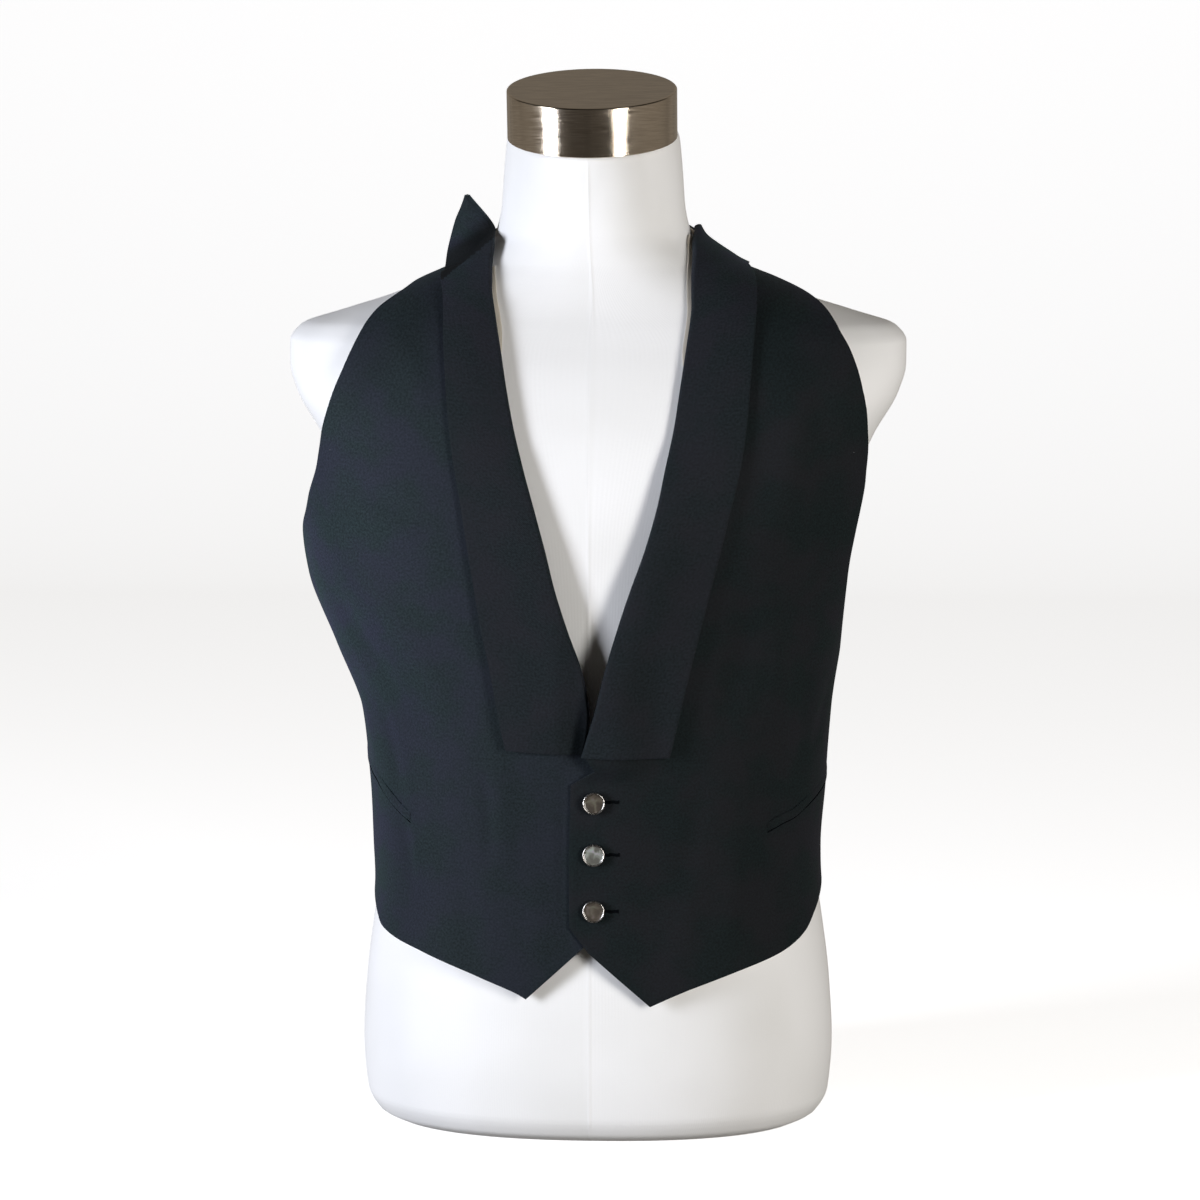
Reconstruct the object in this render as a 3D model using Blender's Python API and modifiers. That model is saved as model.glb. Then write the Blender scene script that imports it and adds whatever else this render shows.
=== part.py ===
"""A backless evening waistcoat, buttoned on a limbless dress form.

Metres, +Z up, front towards -Y, base on z = 0. Left and right are the wearer's.
Every cloth piece is a wall on one smooth surface round the form, the form's own rings plus
an ease. A place on it is given as across, the way round from the centre front, and height.
"""
import bisect
import math

import bmesh
import bpy
from mathutils import Matrix, Vector

MM = 0.001
TOUCH_GAP = 0.4 * MM

# ---- driving sizes ---------------------------------------------------------------------------
MIDDLE_Y = 8.2 * MM
CLOTH = 1.6 * MM
LAPEL_CLOTH = 1.2 * MM
LINING_CLOTH = 0.9 * MM
STRAP_CLOTH = 1.2 * MM
STRAP_WIDTH = 30 * MM
BUTTON_DIAMETER = 16 * MM
BUTTON_THICKNESS = 3.2 * MM
BUTTON_HEIGHTS = (249.5 * MM, 212.5 * MM, 172.5 * MM)
BUTTON_TILTS = (7.0, 2.0, 1.0)
BUTTON_ACROSS = 4.0 * MM
WELT_WIDTH = 7 * MM
LAP_LIFT = 2.1 * MM
TIP_LIFT = 5.6 * MM

NECK_SIDE_SHIFT = -3.2 * MM
NECK_TOP = 710.5 * MM
NECK_LEAN = math.radians(13.0)
NECK_LEAN_FROM = 641 * MM
CAP_RADIUS = 60.6 * MM
CAP_HEIGHT = 35.3 * MM
CAP_EDGE = 1.2 * MM

FORM_SIDES = 44
FORM_STEPS = (
    0, 2, 6, 12, 20, 36, 60, 90, 120, 150, 185, 220, 255, 290, 325, 360, 395, 425, 450, 470, 485,
    500, 515, 530, 545, 557, 566, 573, 579, 584, 590, 597, 604, 612, 621, 632, 645, 660, 676, 692,
    703, 708,
)

# height, half width, front depth, back depth, squareness of the ring
FORM_RINGS = (
    (0, 150.0, 99.0, 96.0, 2.30),
    (6, 161.0, 110.0, 107.0, 2.30),
    (20, 168.5, 117.0, 114.5, 2.30),
    (56, 171.3, 120.0, 119.0, 2.30),
    (100, 169.0, 119.5, 119.0, 2.30),
    (150, 162.8, 117.0, 112.0, 2.25),
    (200, 154.5, 113.0, 100.0, 2.20),
    (250, 150.0, 110.0, 93.0, 2.20),
    (300, 152.0, 112.0, 95.0, 2.20),
    (350, 159.0, 117.0, 103.0, 2.20),
    (400, 167.0, 122.0, 111.0, 2.25),
    (440, 176.0, 125.0, 117.0, 2.35),
    (470, 186.0, 122.5, 117.5, 2.50),
    (500, 199.0, 116.5, 115.0, 2.65),
    (530, 216.0, 106.0, 109.0, 2.75),
    (550, 221.4, 96.5, 103.0, 2.75),
    (566, 221.5, 87.0, 96.5, 2.70),
    (577, 213.6, 80.5, 91.0, 2.55),
    (586, 187.0, 75.0, 86.0, 2.40),
    (598, 149.0, 69.0, 79.0, 2.20),
    (610, 118.0, 64.0, 72.0, 2.10),
    (622, 92.0, 60.0, 66.0, 2.05),
    (641, 71.0, 57.5, 60.0, 2.00),
    (662, 65.7, 61.0, 55.0, 2.00),
    (680, 64.8, 65.0, 51.0, 2.00),
    (702, 64.5, 70.5, 46.0, 2.00),
    (708, 63.6, 70.8, 43.6, 2.00),
    (710.5, 61.0, 68.8, 40.4, 2.00),
)

# height, ease at the right side, at the left side, at the front, at the back
CLOTH_EASE = (
    (90, 4.0, 4.0, 6.0, 4.0),
    (130, 2.5, 2.5, 7.5, 4.0),
    (160, 1.5, 1.5, 8.5, 5.0),
    (200, 7.5, 6.0, 11.5, 7.0),
    (250, 14.0, 14.5, 14.0, 8.0),
    (300, 17.5, 15.5, 13.5, 8.0),
    (350, 29.5, 16.0, 9.5, 8.0),
    (400, 41.0, 21.0, 6.5, 8.0),
    (440, 41.0, 24.0, 5.0, 8.0),
    (470, 31.5, 20.0, 4.5, 8.0),
    (500, 16.0, 15.0, 4.5, 8.0),
    (530, 8.0, 8.0, 4.5, 8.0),
    (566, 7.0, 7.0, 4.5, 8.0),
    (586, 8.5, 9.0, 5.0, 8.0),
    (610, 5.2, 9.5, 5.5, 7.0),
    (622, 5.6, 7.5, 6.0, 6.0),
    (641, 5.0, 5.5, 6.0, 5.5),
    (665, 5.0, 5.5, 6.0, 6.0),
)

# ---- cut edges: runs of (across, height) in mm with the number of steps along each run ---------
# across is measured to the piece's own side, so the lap at the centre front is negative
SHOULDER_TURN = 98.0
FRONT_EDGES = {
    "right": {
        "lap": (
            (((4, 145), (-12, 160)), 2),
            (((-12, 160), (-12, 205), (-12, 262)), 7),
            (((-12, 262), (-7, 275), (1, 281.5)), 2),
        ),
        "hem": (
            (((4, 145), (44, 108)), 3),
            (((44, 108), (56, 114), (91, 126), (127, 136), (152, 141), (168, 144.5), (178, 147.5),
              (187, 153), (199, 159.5), (215, 166), (240, 173), (286, 179)), 16),
        ),
        "end": (((286, 179), (289, 222), (291, 268)), 8),
        "armhole": ((291, 268), (286, 290), (275, 330), (267, 368), (256, 400), (240, 431),
                    (226, 447), (218.5, 462), (209.5, 477), (205, 492), (200, 506), (192.5, 520),
                    (185.5, 534), (178, 548.5), (171.5, 562), (164.5, 576), (157.5, 590),
                    (149, 602), (152.5, 608)),
        "above_lapel": ((87, 623.5), (95, 632), (106, 640.5)),
    },
    "left": {
        "lap": (
            (((0, 142.5), (-13, 160)), 2),
            (((-13, 160), (-13, 210), (-12, 262)), 7),
            (((-12, 262), (5, 273)), 2),
        ),
        "hem": (
            (((0, 142.5), (43.5, 103.5)), 3),
            (((43.5, 103.5), (70.5, 114.5), (108, 126), (147, 136), (173, 146), (191, 157),
              (212, 167), (231, 173), (256, 177.5), (286, 179)), 16),
        ),
        "end": (((286, 179), (288, 222), (289, 268)), 8),
        "armhole": ((289, 268), (275, 288), (252, 312), (229, 345), (215, 375), (208.5, 406),
                    (208.5, 435), (211.5, 464), (210, 478), (208, 493), (204, 508), (200, 522),
                    (195, 536), (190, 550), (183.5, 564), (175.5, 577.5), (171, 590), (168.5, 602),
                    (165.5, 609)),
        "above_lapel": (),
    },
}
SHOULDER_TOP = 645
SHOULDER_FOOT = 614
OPENING_STEPS = (11, 12)
ARMHOLE_STEPS = (15, 12)
CLOSE_ROWS_FROM = 545
SHOULDER_STEPS = 19
ROLL_ROOM = 3.0

# rows of a lapel from its lower end up: across and height of the roll edge, then of the free edge
LAPEL_ROWS = {
    "right": (
        (3, 283, 56, 286),
        (0, 298, 60, 302),
        (-1, 312, 63, 318),
        (1, 329, 66, 334),
        (5, 346, 69, 350),
        (9.5, 359, 72, 363),
        (14, 372, 74.5, 376),
        (22.5, 400, 79, 404),
        (29.2, 428, 83.5, 432),
        (37, 456, 88, 460),
        (44.8, 483, 93, 487),
        (52, 510, 97, 514),
        (58, 538, 100, 541),
        (63, 564, 102.5, 566),
        (68, 588, 104.5, 588),
        (71, 602, 107.5, 600),
        (72.2, 613, 112, 607),
        (74.3, 622, 116.5, 612),
    ),
    "left": (
        (-4.3, 283, 55.7, 281.5),
        (0, 298, 59.5, 297),
        (4.3, 312, 62.5, 310),
        (8.5, 329.5, 66.5, 328),
        (12.7, 347, 71, 346),
        (20, 372, 77.5, 372),
        (29, 400, 84, 398),
        (39, 428, 91, 426),
        (47.5, 456, 97.5, 453),
        (53.5, 484, 104, 480),
        (59, 510, 108.5, 507),
        (63, 538, 111, 537),
        (66.5, 564, 113, 564),
        (69.5, 588, 115, 587),
        (70, 602, 117, 600),
        (72, 616, 121, 610),
        (78, 629, 128, 616),
        (86.5, 639, 137, 618.5),
        (99, 645, 145, 618.5),
        (111, 648, 152, 617.5),
    ),
}
LAPEL_ACROSS = 8

# how the cloth of a lapel turns round the edge of the front: out from the roll, off the surface
ROLL_SECTION = ((5.4, -1.6), (2.9, -1.65), (0.85, -1.1), (0.0, 0.8), (0.85, 2.7), (2.6, 3.1))
LAPEL_BULGE = 1.3 * MM
LAPEL_EDGE_LIFT = 0.7 * MM

# the right collar end stands up: inner and outer edge of each level, x, y, z
COLLAR_POINT = (
    ((-72.6, -40.5, 631.5), (-106.5, -20.5, 617.0)),
    ((-72.6, -35.0, 639.3), (-105.0, -14.0, 629.5)),
    ((-74.0, -26.0, 646.0), (-102.8, -6.5, 641.0)),
    ((-78.0, -20.0, 652.0), (-100.0, -4.0, 651.8)),
    ((-83.4, -14.5, 658.5), (-97.2, -5.0, 660.2)),
    ((-89.8, -10.5, 665.6), (-94.2, -7.5, 668.0)),
)

# lower edge of each pocket welt, front end first: across, height
WELT_LINES = {
    "right": ((137, 228), (147.5, 232), (156, 236.5), (165, 242), (174, 247), (186, 254),
              (205, 261), (225, 267), (250, 273)),
    "left": ((134, 223.5), (146, 228), (159, 231), (172, 236), (184, 240), (200, 244.5),
             (225, 250), (250, 255)),
}

# ---- band and straps ---------------------------------------------------------------------------
BAND_START = 98.8
BAND_STEPS = 26
BAND_LEVELS = 4
LINING_MARGIN = 1.5
# share of the way to the centre back, height of the lower edge, of the upper edge
BAND_EDGES = ((0.0, 614, 645), (0.35, 611, 649), (1.0, 611, 652))

STRAP_MIDDLE = 230 * MM
SLIDE_ANGLE = 200.0
SLIDE_LENGTH = 30 * MM
SLIDE_HEIGHT = 38 * MM
SLIDE_BAR = 3 * MM
SLIDE_THICK = 1.8 * MM
SLIDE_LEVEL = 4.0 * MM
# the ends of the strap inside the fronts: degrees round the body, mm off the cloth surface
LEFT_STRAP_START = ((112, -1.2), (116.5, -1.2), (121, -1.2), (125, 0.3), (130, 0.9))
RIGHT_STRAP_END = ((234, 0.3), (238, -1.2), (243, -1.2), (248, -1.2))
# along the strap from the slide's middle and off the body, mm
LEFT_STRAP_AT_SLIDE = ((-46, 0.9), (-24, 0.9), (-15, 0.9), (-11.5, 1.2), (-8.6, 2.8), (-6.0, 5.0),
                       (-3.0, 6.7), (0, 7.1), (2.2, 6.7), (4.2, 4.8), (6.0, 2.6), (8.0, 0.8),
                       (11, 0.1), (20, 0.0), (28, 0.0), (44, 0.0))
RIGHT_STRAP_AT_SLIDE = ((26, 1.6), (17, 1.65), (13.5, 1.7), (10.7, 1.8), (9.5, 2.9), (9.3, 4.3),
                        (9.7, 5.9), (10.9, 6.7), (13.5, 6.9), (17, 6.6), (28, 5.0), (44, 2.6),
                        (62, 0.6))

# ---- finishes: colour, roughness, metallic -----------------------------------------------------
FINISHES = {
    "black_worsted": ((0.013, 0.016, 0.020), 0.86, 0.0),
    "cream_lining": ((0.62, 0.52, 0.40), 0.70, 0.0),
    "white_jersey": ((0.86, 0.86, 0.88), 0.90, 0.0),
    "brushed_nickel": ((0.50, 0.47, 0.43), 0.30, 1.0),
    "smoky_pearl": ((0.20, 0.19, 0.18), 0.25, 0.1),
    "nickel_plate": ((0.60, 0.59, 0.57), 0.28, 1.0),
}


def clear_scene():
    for item in list(bpy.data.objects):
        bpy.data.objects.remove(item, do_unlink=True)


def make_material(name):
    colour, roughness, metallic = FINISHES[name]
    material = bpy.data.materials.new(name)
    material.use_nodes = True
    shader = material.node_tree.nodes["Principled BSDF"]
    shader.inputs["Base Color"].default_value = (*colour, 1.0)
    shader.inputs["Roughness"].default_value = roughness
    shader.inputs["Metallic"].default_value = metallic
    return material


# ---- the surfaces ------------------------------------------------------------------------------
def slope_at(keys, values, k):
    """Slope of a table's column at row k, flat where the column turns."""
    if k == 0:
        return (values[1] - values[0]) / (keys[1] - keys[0])
    if k == len(keys) - 1:
        return (values[-1] - values[-2]) / (keys[-1] - keys[-2])
    before = (values[k] - values[k - 1]) / (keys[k] - keys[k - 1])
    after = (values[k + 1] - values[k]) / (keys[k + 1] - keys[k])
    if before * after <= 0:
        return 0.0
    return 2 * before * after / (before + after)


def read_table(rows, key, column):
    """A column of a table at any key, on a smooth curve that never overshoots its rows."""
    keys = [row[0] for row in rows]
    values = [row[column] for row in rows]
    key = min(max(key, keys[0]), keys[-1])
    k = min(max(bisect.bisect_right(keys, key) - 1, 0), len(keys) - 2)
    span = keys[k + 1] - keys[k]
    t = (key - keys[k]) / span
    start = (2 * t**3 - 3 * t**2 + 1) * values[k] + (t**3 - 2 * t**2 + t) * span * slope_at(keys, values, k)
    end = (3 * t**2 - 2 * t**3) * values[k + 1] + (t**3 - t**2) * span * slope_at(keys, values, k + 1)
    return start + end


def ramp(value, low, high):
    t = min(max((value - low) / (high - low), 0.0), 1.0)
    return t * t * (3 - 2 * t)


NO_EASE = (0.0, 0.0, 0.0, 0.0)


def ring_sizes(height, eases):
    """Half widths at right and left, depths at front and back, and the power of a ring."""
    key = height / MM
    half, front, back, squareness = [read_table(FORM_RINGS, key, column) for column in (1, 2, 3, 4)]
    right_ease, left_ease, front_ease, back_ease = eases
    return half + right_ease, half + left_ease, front + front_ease, back + back_ease, 2 / squareness


def ring_point(height, angle, sizes):
    """A point of a ring, angle 0 at the centre front and growing to the wearer's left."""
    right, left, front, back, power = sizes
    sine, cosine = math.sin(angle), math.cos(angle)
    half = left if sine >= 0 else right
    depth = front if cosine >= 0 else back
    x = half * MM * math.copysign(abs(sine) ** power, sine)
    y = -depth * MM * math.copysign(abs(cosine) ** power, cosine)
    return Vector((x + NECK_SIDE_SHIFT * ramp(height, 590 * MM, 650 * MM), MIDDLE_Y + y, height))


def cloth_sizes(height):
    eases = [read_table(CLOTH_EASE, height / MM, column) for column in (1, 2, 3, 4)]
    return ring_sizes(height, eases)


def cloth_ring_point(height, angle):
    return ring_point(height, angle, cloth_sizes(height))


RING_STEPS = 120
RING_STORE = {}


def ring_walk(height, side):
    """The points of a cloth ring from the centre front to the centre back, with the way walked."""
    key = (round(height, 7), side)
    if key not in RING_STORE:
        sizes = cloth_sizes(height)
        points = [ring_point(height, side * math.pi * k / RING_STEPS, sizes) for k in range(RING_STEPS + 1)]
        walked = [0.0]
        for before, after in zip(points, points[1:]):
            walked.append(walked[-1] + (after - before).length)
        RING_STORE[key] = (walked, points)
    return RING_STORE[key]


def cloth_point(across, height):
    """The point of the cloth surface that far round from the centre front, + to the wearer's left."""
    walked, points = ring_walk(height, 1 if across >= 0 else -1)
    way = min(abs(across), walked[-1])
    k = min(max(bisect.bisect_right(walked, way) - 1, 0), len(points) - 2)
    share = (way - walked[k]) / (walked[k + 1] - walked[k])
    return points[k].lerp(points[k + 1], share)


def way_round(turn, height, side):
    """The way round from the centre front to a turn in degrees, at a height in mm."""
    walked, points = ring_walk(height * MM, side)
    place = turn / 180 * RING_STEPS
    k = int(place)
    return (walked[k] + (walked[k + 1] - walked[k]) * (place - k)) / MM


def cloth_normal(across, height):
    """Away from the body."""
    step = 1.5 * MM
    round_way = cloth_point(across + step, height) - cloth_point(across - step, height)
    up_way = cloth_point(across, height + step) - cloth_point(across, height - step)
    return round_way.cross(up_way).normalized()


def lap_lift(across, height):
    """How far the upper front and its lapel ride over what lies under them at the lap."""
    low_part = LAP_LIFT + (TIP_LIFT - LAP_LIFT) * ramp(height, 262 * MM, 280 * MM)
    level = low_part * (1 - ramp(height, 312 * MM, 385 * MM))
    return level * (1 - ramp(across, 14 * MM, 52 * MM))


def surface_point(side, across, height, off):
    """A point on the cloth surface of one side, moved out by off."""
    sign = 1 if side == "left" else -1
    lift = lap_lift(across, height) if side == "left" else 0.0
    place = cloth_point(sign * across, height)
    return place + cloth_normal(sign * across, height) * (off + lift)


# ---- mesh builders -----------------------------------------------------------------------------
def add_object(name, mesh, material, smooth_angle=None):
    mesh.materials.append(material)
    if smooth_angle is not None:
        mesh.shade_smooth()
        mesh.set_sharp_from_angle(angle=math.radians(smooth_angle))
    item = bpy.data.objects.new(name, mesh)
    bpy.context.scene.collection.children["backless_waistcoat"].objects.link(item)
    return item


def grid_mesh(name, rows, turned=False):
    """An open sheet through rows of points, all with the same count."""
    width = len(rows[0])
    points = [point for row in rows for point in row]
    faces = []
    for i in range(len(rows) - 1):
        for j in range(width - 1):
            corner = i * width + j
            face = (corner, corner + 1, corner + width + 1, corner + width)
            faces.append(face[::-1] if turned else face)
    mesh = bpy.data.meshes.new(name)
    mesh.from_pydata(points, [], faces)
    return mesh


def cloth_wall(name, rows, thickness, material, turned=False, offset=1.0):
    """A sheet given its thickness towards the side that its faces look to."""
    item = add_object(name, grid_mesh(name, rows, turned), material, 40)
    wall = item.modifiers.new("wall", "SOLIDIFY")
    wall.thickness = thickness
    wall.offset = offset
    wall.use_even_offset = True
    return item


def ring_loft(name, rings, material):
    """A closed body through rings of points, with a flat face at each end."""
    count = len(rings[0])
    points = [point for ring in rings for point in ring]
    faces = []
    for i in range(len(rings) - 1):
        for j in range(count):
            k = (j + 1) % count
            faces.append((i * count + j, i * count + k, (i + 1) * count + k, (i + 1) * count + j))
    faces.append(tuple(range(count))[::-1])
    last = (len(rings) - 1) * count
    faces.append(tuple(range(last, last + count)))
    mesh = bpy.data.meshes.new(name)
    mesh.from_pydata(points, [], faces)
    return add_object(name, mesh, material, 50)


def turned_body(name, profile, steps, material):
    """A solid turned round Z; the profile runs down its outer side from the top of the axis."""
    mesh = bpy.data.meshes.new(name)
    edges = [(k, k + 1) for k in range(len(profile) - 1)]
    mesh.from_pydata([(radius, 0.0, height) for radius, height in profile], edges, [])
    item = add_object(name, mesh, material)
    screw = item.modifiers.new("turn", "SCREW")
    screw.steps = steps
    screw.render_steps = steps
    screw.use_merge_vertices = True
    screw.merge_threshold = 0.00001
    screw.use_smooth_shade = True
    return item


# ---- the cut edges -----------------------------------------------------------------------------
def curve_point(points, k, t):
    """Catmull-Rom between points k and k + 1 of a run."""
    before = points[max(k - 1, 0)]
    start, end = points[k], points[k + 1]
    after = points[min(k + 2, len(points) - 1)]
    place = []
    for a, b, c, d in zip(before, start, end, after):
        place.append(b + 0.5 * t * (c - a + t * (2 * a - 5 * b + 4 * c - d + t * (3 * (b - c) + d - a))))
    return tuple(place)


def walk_run(points, steps):
    """Places at equal distances along a smooth run."""
    fine = 12
    line = [points[0]]
    for k in range(len(points) - 1):
        line += [curve_point(points, k, t / fine) for t in range(1, fine + 1)]
    walked = [0.0]
    for before, after in zip(line, line[1:]):
        walked.append(walked[-1] + math.dist(before, after))
    places = []
    for step in range(steps + 1):
        way = walked[-1] * step / steps
        k = min(max(bisect.bisect_right(walked, way) - 1, 0), len(line) - 2)
        share = (way - walked[k]) / (walked[k + 1] - walked[k])
        places.append(tuple(p + (q - p) * share for p, q in zip(line[k], line[k + 1])))
    return places


def cut_edge(runs):
    places = []
    for points, steps in runs:
        places += walk_run(points, steps)[1 if places else 0:]
    return places


def split_run(points, steps):
    """A run in two, with closer steps where the shoulder curves."""
    k = next(k for k, point in enumerate(points) if point[1] > CLOSE_ROWS_FROM)
    return (points[:k + 1], steps[0]), (points[k:], steps[1])


def front_edges(side):
    """The four cut edges of a front: hem, shoulder, opening and side."""
    edges = FRONT_EDGES[side]
    sign = 1 if side == "left" else -1
    drop = (SHOULDER_TOP - SHOULDER_FOOT) / SHOULDER_STEPS
    shoulder = []
    for step in range(SHOULDER_STEPS + 1):
        height = SHOULDER_TOP - drop * step
        shoulder.append((way_round(SHOULDER_TURN, height, sign), height))
    opening = []
    for across, height, free_across, free_height in LAPEL_ROWS[side]:
        way = (Vector((free_across, free_height)) - Vector((across, height))).normalized()
        opening.append((across + way.x * ROLL_ROOM, height + way.y * ROLL_ROOM))
    opening = [edges["lap"][-1][0][-1], *opening, *edges["above_lapel"]]
    while opening[-1][0] > shoulder[0][0] - 6:
        opening.pop()
    first_run = ((opening[0], opening[1]), 1)
    opening_runs = split_run((*opening[1:], shoulder[0]), OPENING_STEPS)
    armhole_runs = split_run((*edges["armhole"], shoulder[-1]), ARMHOLE_STEPS)
    return (cut_edge(edges["hem"]), shoulder, cut_edge((*edges["lap"], first_run, *opening_runs)),
            cut_edge((edges["end"], *armhole_runs)))


def patch(bottom, top, start, end):
    """Rows of places filling the shape between four cut edges."""
    columns, rows = len(bottom) - 1, len(start) - 1
    net = []
    for i in range(rows + 1):
        v = i / rows
        row = []
        for j in range(columns + 1):
            u = j / columns
            place = []
            for k in (0, 1):
                edges = (1 - v) * bottom[j][k] + v * top[j][k] + (1 - u) * start[i][k] + u * end[i][k]
                corners = ((1 - u) * (1 - v) * bottom[0][k] + u * (1 - v) * bottom[-1][k]
                           + (1 - u) * v * top[0][k] + u * v * top[-1][k])
                place.append(edges - corners)
            row.append(place)
        net.append(row)
    return net


# ---- the form ----------------------------------------------------------------------------------
def lean(point, height):
    """Tips a ring of the neck forward, more towards the top."""
    share = max(0.0, (height - NECK_LEAN_FROM) / (NECK_TOP - NECK_LEAN_FROM))
    middle = MIDDLE_Y + neck_middle(height)
    return Vector((point.x, point.y, point.z + (point.y - middle) * math.tan(NECK_LEAN) * share))


def neck_middle(height):
    front = read_table(FORM_RINGS, height / MM, 2)
    back = read_table(FORM_RINGS, height / MM, 3)
    return 0.5 * (back - front) * MM


def build_dress_form(material):
    rings = []
    for step in (*FORM_STEPS, NECK_TOP / MM):
        height = step * MM
        sizes = ring_sizes(height, NO_EASE)
        ring = [ring_point(height, 2 * math.pi * k / FORM_SIDES, sizes) for k in range(FORM_SIDES)]
        rings.append([lean(point, height) for point in ring])
    return ring_loft("dress_form", rings, material)


def build_neck_cap(material):
    profile = ((0, CAP_HEIGHT), (CAP_RADIUS - CAP_EDGE, CAP_HEIGHT), (CAP_RADIUS, CAP_HEIGHT - CAP_EDGE),
               (CAP_RADIUS, 0.4 * MM), (CAP_RADIUS - 0.4 * MM, 0), (0, 0))
    cap = turned_body("neck_cap", profile, 64, material)
    base = Vector((NECK_SIDE_SHIFT, MIDDLE_Y + neck_middle(NECK_TOP), NECK_TOP))
    up = Vector((0.0, -math.sin(NECK_LEAN), math.cos(NECK_LEAN)))
    cap.location = base + up * TOUCH_GAP
    cap.rotation_euler = (NECK_LEAN, 0.0, 0.0)
    return cap


# ---- the cloth ---------------------------------------------------------------------------------
def build_front(side, material):
    net = patch(*front_edges(side))
    rows = [[surface_point(side, across * MM, height * MM, 0.0) for across, height in row] for row in net]
    return cloth_wall(f"front_{side}", rows, CLOTH, material, turned=side == "right")


def lapel_section(width, roll=1.0):
    """Out from the roll and off the surface, for the whole width of a lapel."""
    middle = 0.5 * CLOTH / MM
    section = [(out * roll * MM, (middle + (off - middle) * roll) * MM) for out, off in ROLL_SECTION]
    first, level = section[-1]
    for step in range(1, LAPEL_ACROSS + 1):
        share = step / LAPEL_ACROSS
        off = level + (LAPEL_BULGE * math.sin(math.pi * share) + LAPEL_EDGE_LIFT * share) * roll
        section.append((first + (width - first) * share, off))
    return section


def lapel_row(side, row):
    roll, free = Vector(row[:2]) * MM, Vector(row[2:]) * MM
    way = (free - roll).normalized()
    points = []
    for out, off in lapel_section((free - roll).length):
        place = roll + way * (out + 0.5 * LAPEL_CLOTH)
        points.append(surface_point(side, place.x, place.y, off))
    return points


def collar_row(inner, outer):
    """A level of the standing collar end, with its edges as given; its roll gets smaller upwards."""
    shift = Vector((0.0, MIDDLE_Y, 0.0))
    inner, outer = Vector(inner) * MM + shift, Vector(outer) * MM + shift
    way = (outer - inner).normalized()
    off_way = Vector((0.0, 0.0, 1.0)).cross(way).normalized()
    width = (outer - inner).length
    roll = min(1.0, max(0.55, width / (30 * MM)))
    return [inner + way * out + off_way * (off - 0.5 * CLOTH) for out, off in lapel_section(width, roll)]


def build_lapel(side, material):
    rows = [lapel_row(side, row) for row in LAPEL_ROWS[side]]
    if side == "right":
        rows += [collar_row(inner, outer) for inner, outer in COLLAR_POINT]
    return cloth_wall(f"lapel_{side}", rows, LAPEL_CLOTH, material, turned=side == "right", offset=0.0)


def build_welt(side, material):
    lower = walk_run(WELT_LINES[side], 14)
    width = WELT_WIDTH / MM
    off = CLOTH + TOUCH_GAP
    rows = []
    for share in (0.0, 0.5, 1.0):
        row = []
        for step, (across, height) in enumerate(lower):
            before, after = lower[max(step - 1, 0)], lower[min(step + 1, len(lower) - 1)]
            run = math.dist(before, after)
            out_x, out_z = -(after[1] - before[1]) / run, (after[0] - before[0]) / run
            place = (across + out_x * width * share, height + out_z * width * share)
            row.append(surface_point(side, place[0] * MM, place[1] * MM, off))
        rows.append(row)
    return cloth_wall(f"pocket_welt_{side}", rows, LAPEL_CLOTH, material, turned=side == "right")


def off_cloth(height, angle, off):
    """A point off the cloth surface at an angle round the body."""
    step = math.radians(0.5)
    rise = 1.5 * MM
    round_way = cloth_ring_point(height, angle + step) - cloth_ring_point(height, angle - step)
    up_way = cloth_ring_point(height + rise, angle) - cloth_ring_point(height - rise, angle)
    return cloth_ring_point(height, angle) + round_way.cross(up_way).normalized() * off


def build_band(name, margin, off, thickness, material):
    """A band round the back of the neck, from one shoulder seam to the other."""
    rows = []
    for i in range(BAND_STEPS + 1):
        turn = BAND_START + (360 - 2 * BAND_START) * i / BAND_STEPS
        share = (min(turn, 360 - turn) - BAND_START) / (180 - BAND_START)
        low = read_table(BAND_EDGES, share, 1) + margin
        high = read_table(BAND_EDGES, share, 2) - margin
        heights = [low + (high - low) * k / BAND_LEVELS for k in range(BAND_LEVELS + 1)]
        rows.append([off_cloth(height * MM, math.radians(turn), off) for height in heights])
    return cloth_wall(name, rows, thickness, material, turned=True)


def strap_rows(places):
    """Rows across a strap at places given in degrees round the body and mm off."""
    rows = []
    for turn, off in places:
        heights = [STRAP_MIDDLE + STRAP_WIDTH * share for share in (-0.5, 0.0, 0.5)]
        rows.append([off_cloth(height, math.radians(turn), off * MM) for height in heights])
    return rows


def slide_turn(along):
    """Degrees round the body at a distance along the strap from the slide's middle."""
    walked, _ = ring_walk(STRAP_MIDDLE, -1)
    way = way_round(360 - SLIDE_ANGLE, STRAP_MIDDLE / MM, -1) * MM - along
    if way > walked[-1]:
        walked, _ = ring_walk(STRAP_MIDDLE, 1)
        return turn_at(walked, 2 * walked[-1] - way)
    return 360 - turn_at(walked, way)


def turn_at(walked, way):
    """Degrees from the centre front of the place at a way walked."""
    k = min(max(bisect.bisect_right(walked, way) - 1, 0), len(walked) - 2)
    return (k + (way - walked[k]) / (walked[k + 1] - walked[k])) * 180 / RING_STEPS


def between(start, end, steps):
    """The places of a straight run without its two ends."""
    return [tuple(p + (q - p) * k / steps for p, q in zip(start, end)) for k in range(1, steps)]


def build_straps(material):
    left = [(slide_turn(along * MM), off) for along, off in walk_run(LEFT_STRAP_AT_SLIDE, 30)]
    left = [*LEFT_STRAP_START, *between(LEFT_STRAP_START[-1], left[0], 7), *left]
    right = [(slide_turn(along * MM), off) for along, off in walk_run(RIGHT_STRAP_AT_SLIDE, 34)]
    right = [*right, *between(right[-1], RIGHT_STRAP_END[0], 3), *RIGHT_STRAP_END]
    for name, places in (("waist_strap_left", left), ("waist_strap_right", right)):
        cloth_wall(name, strap_rows(places), STRAP_CLOTH, material, turned=True, offset=0.0)


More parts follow.
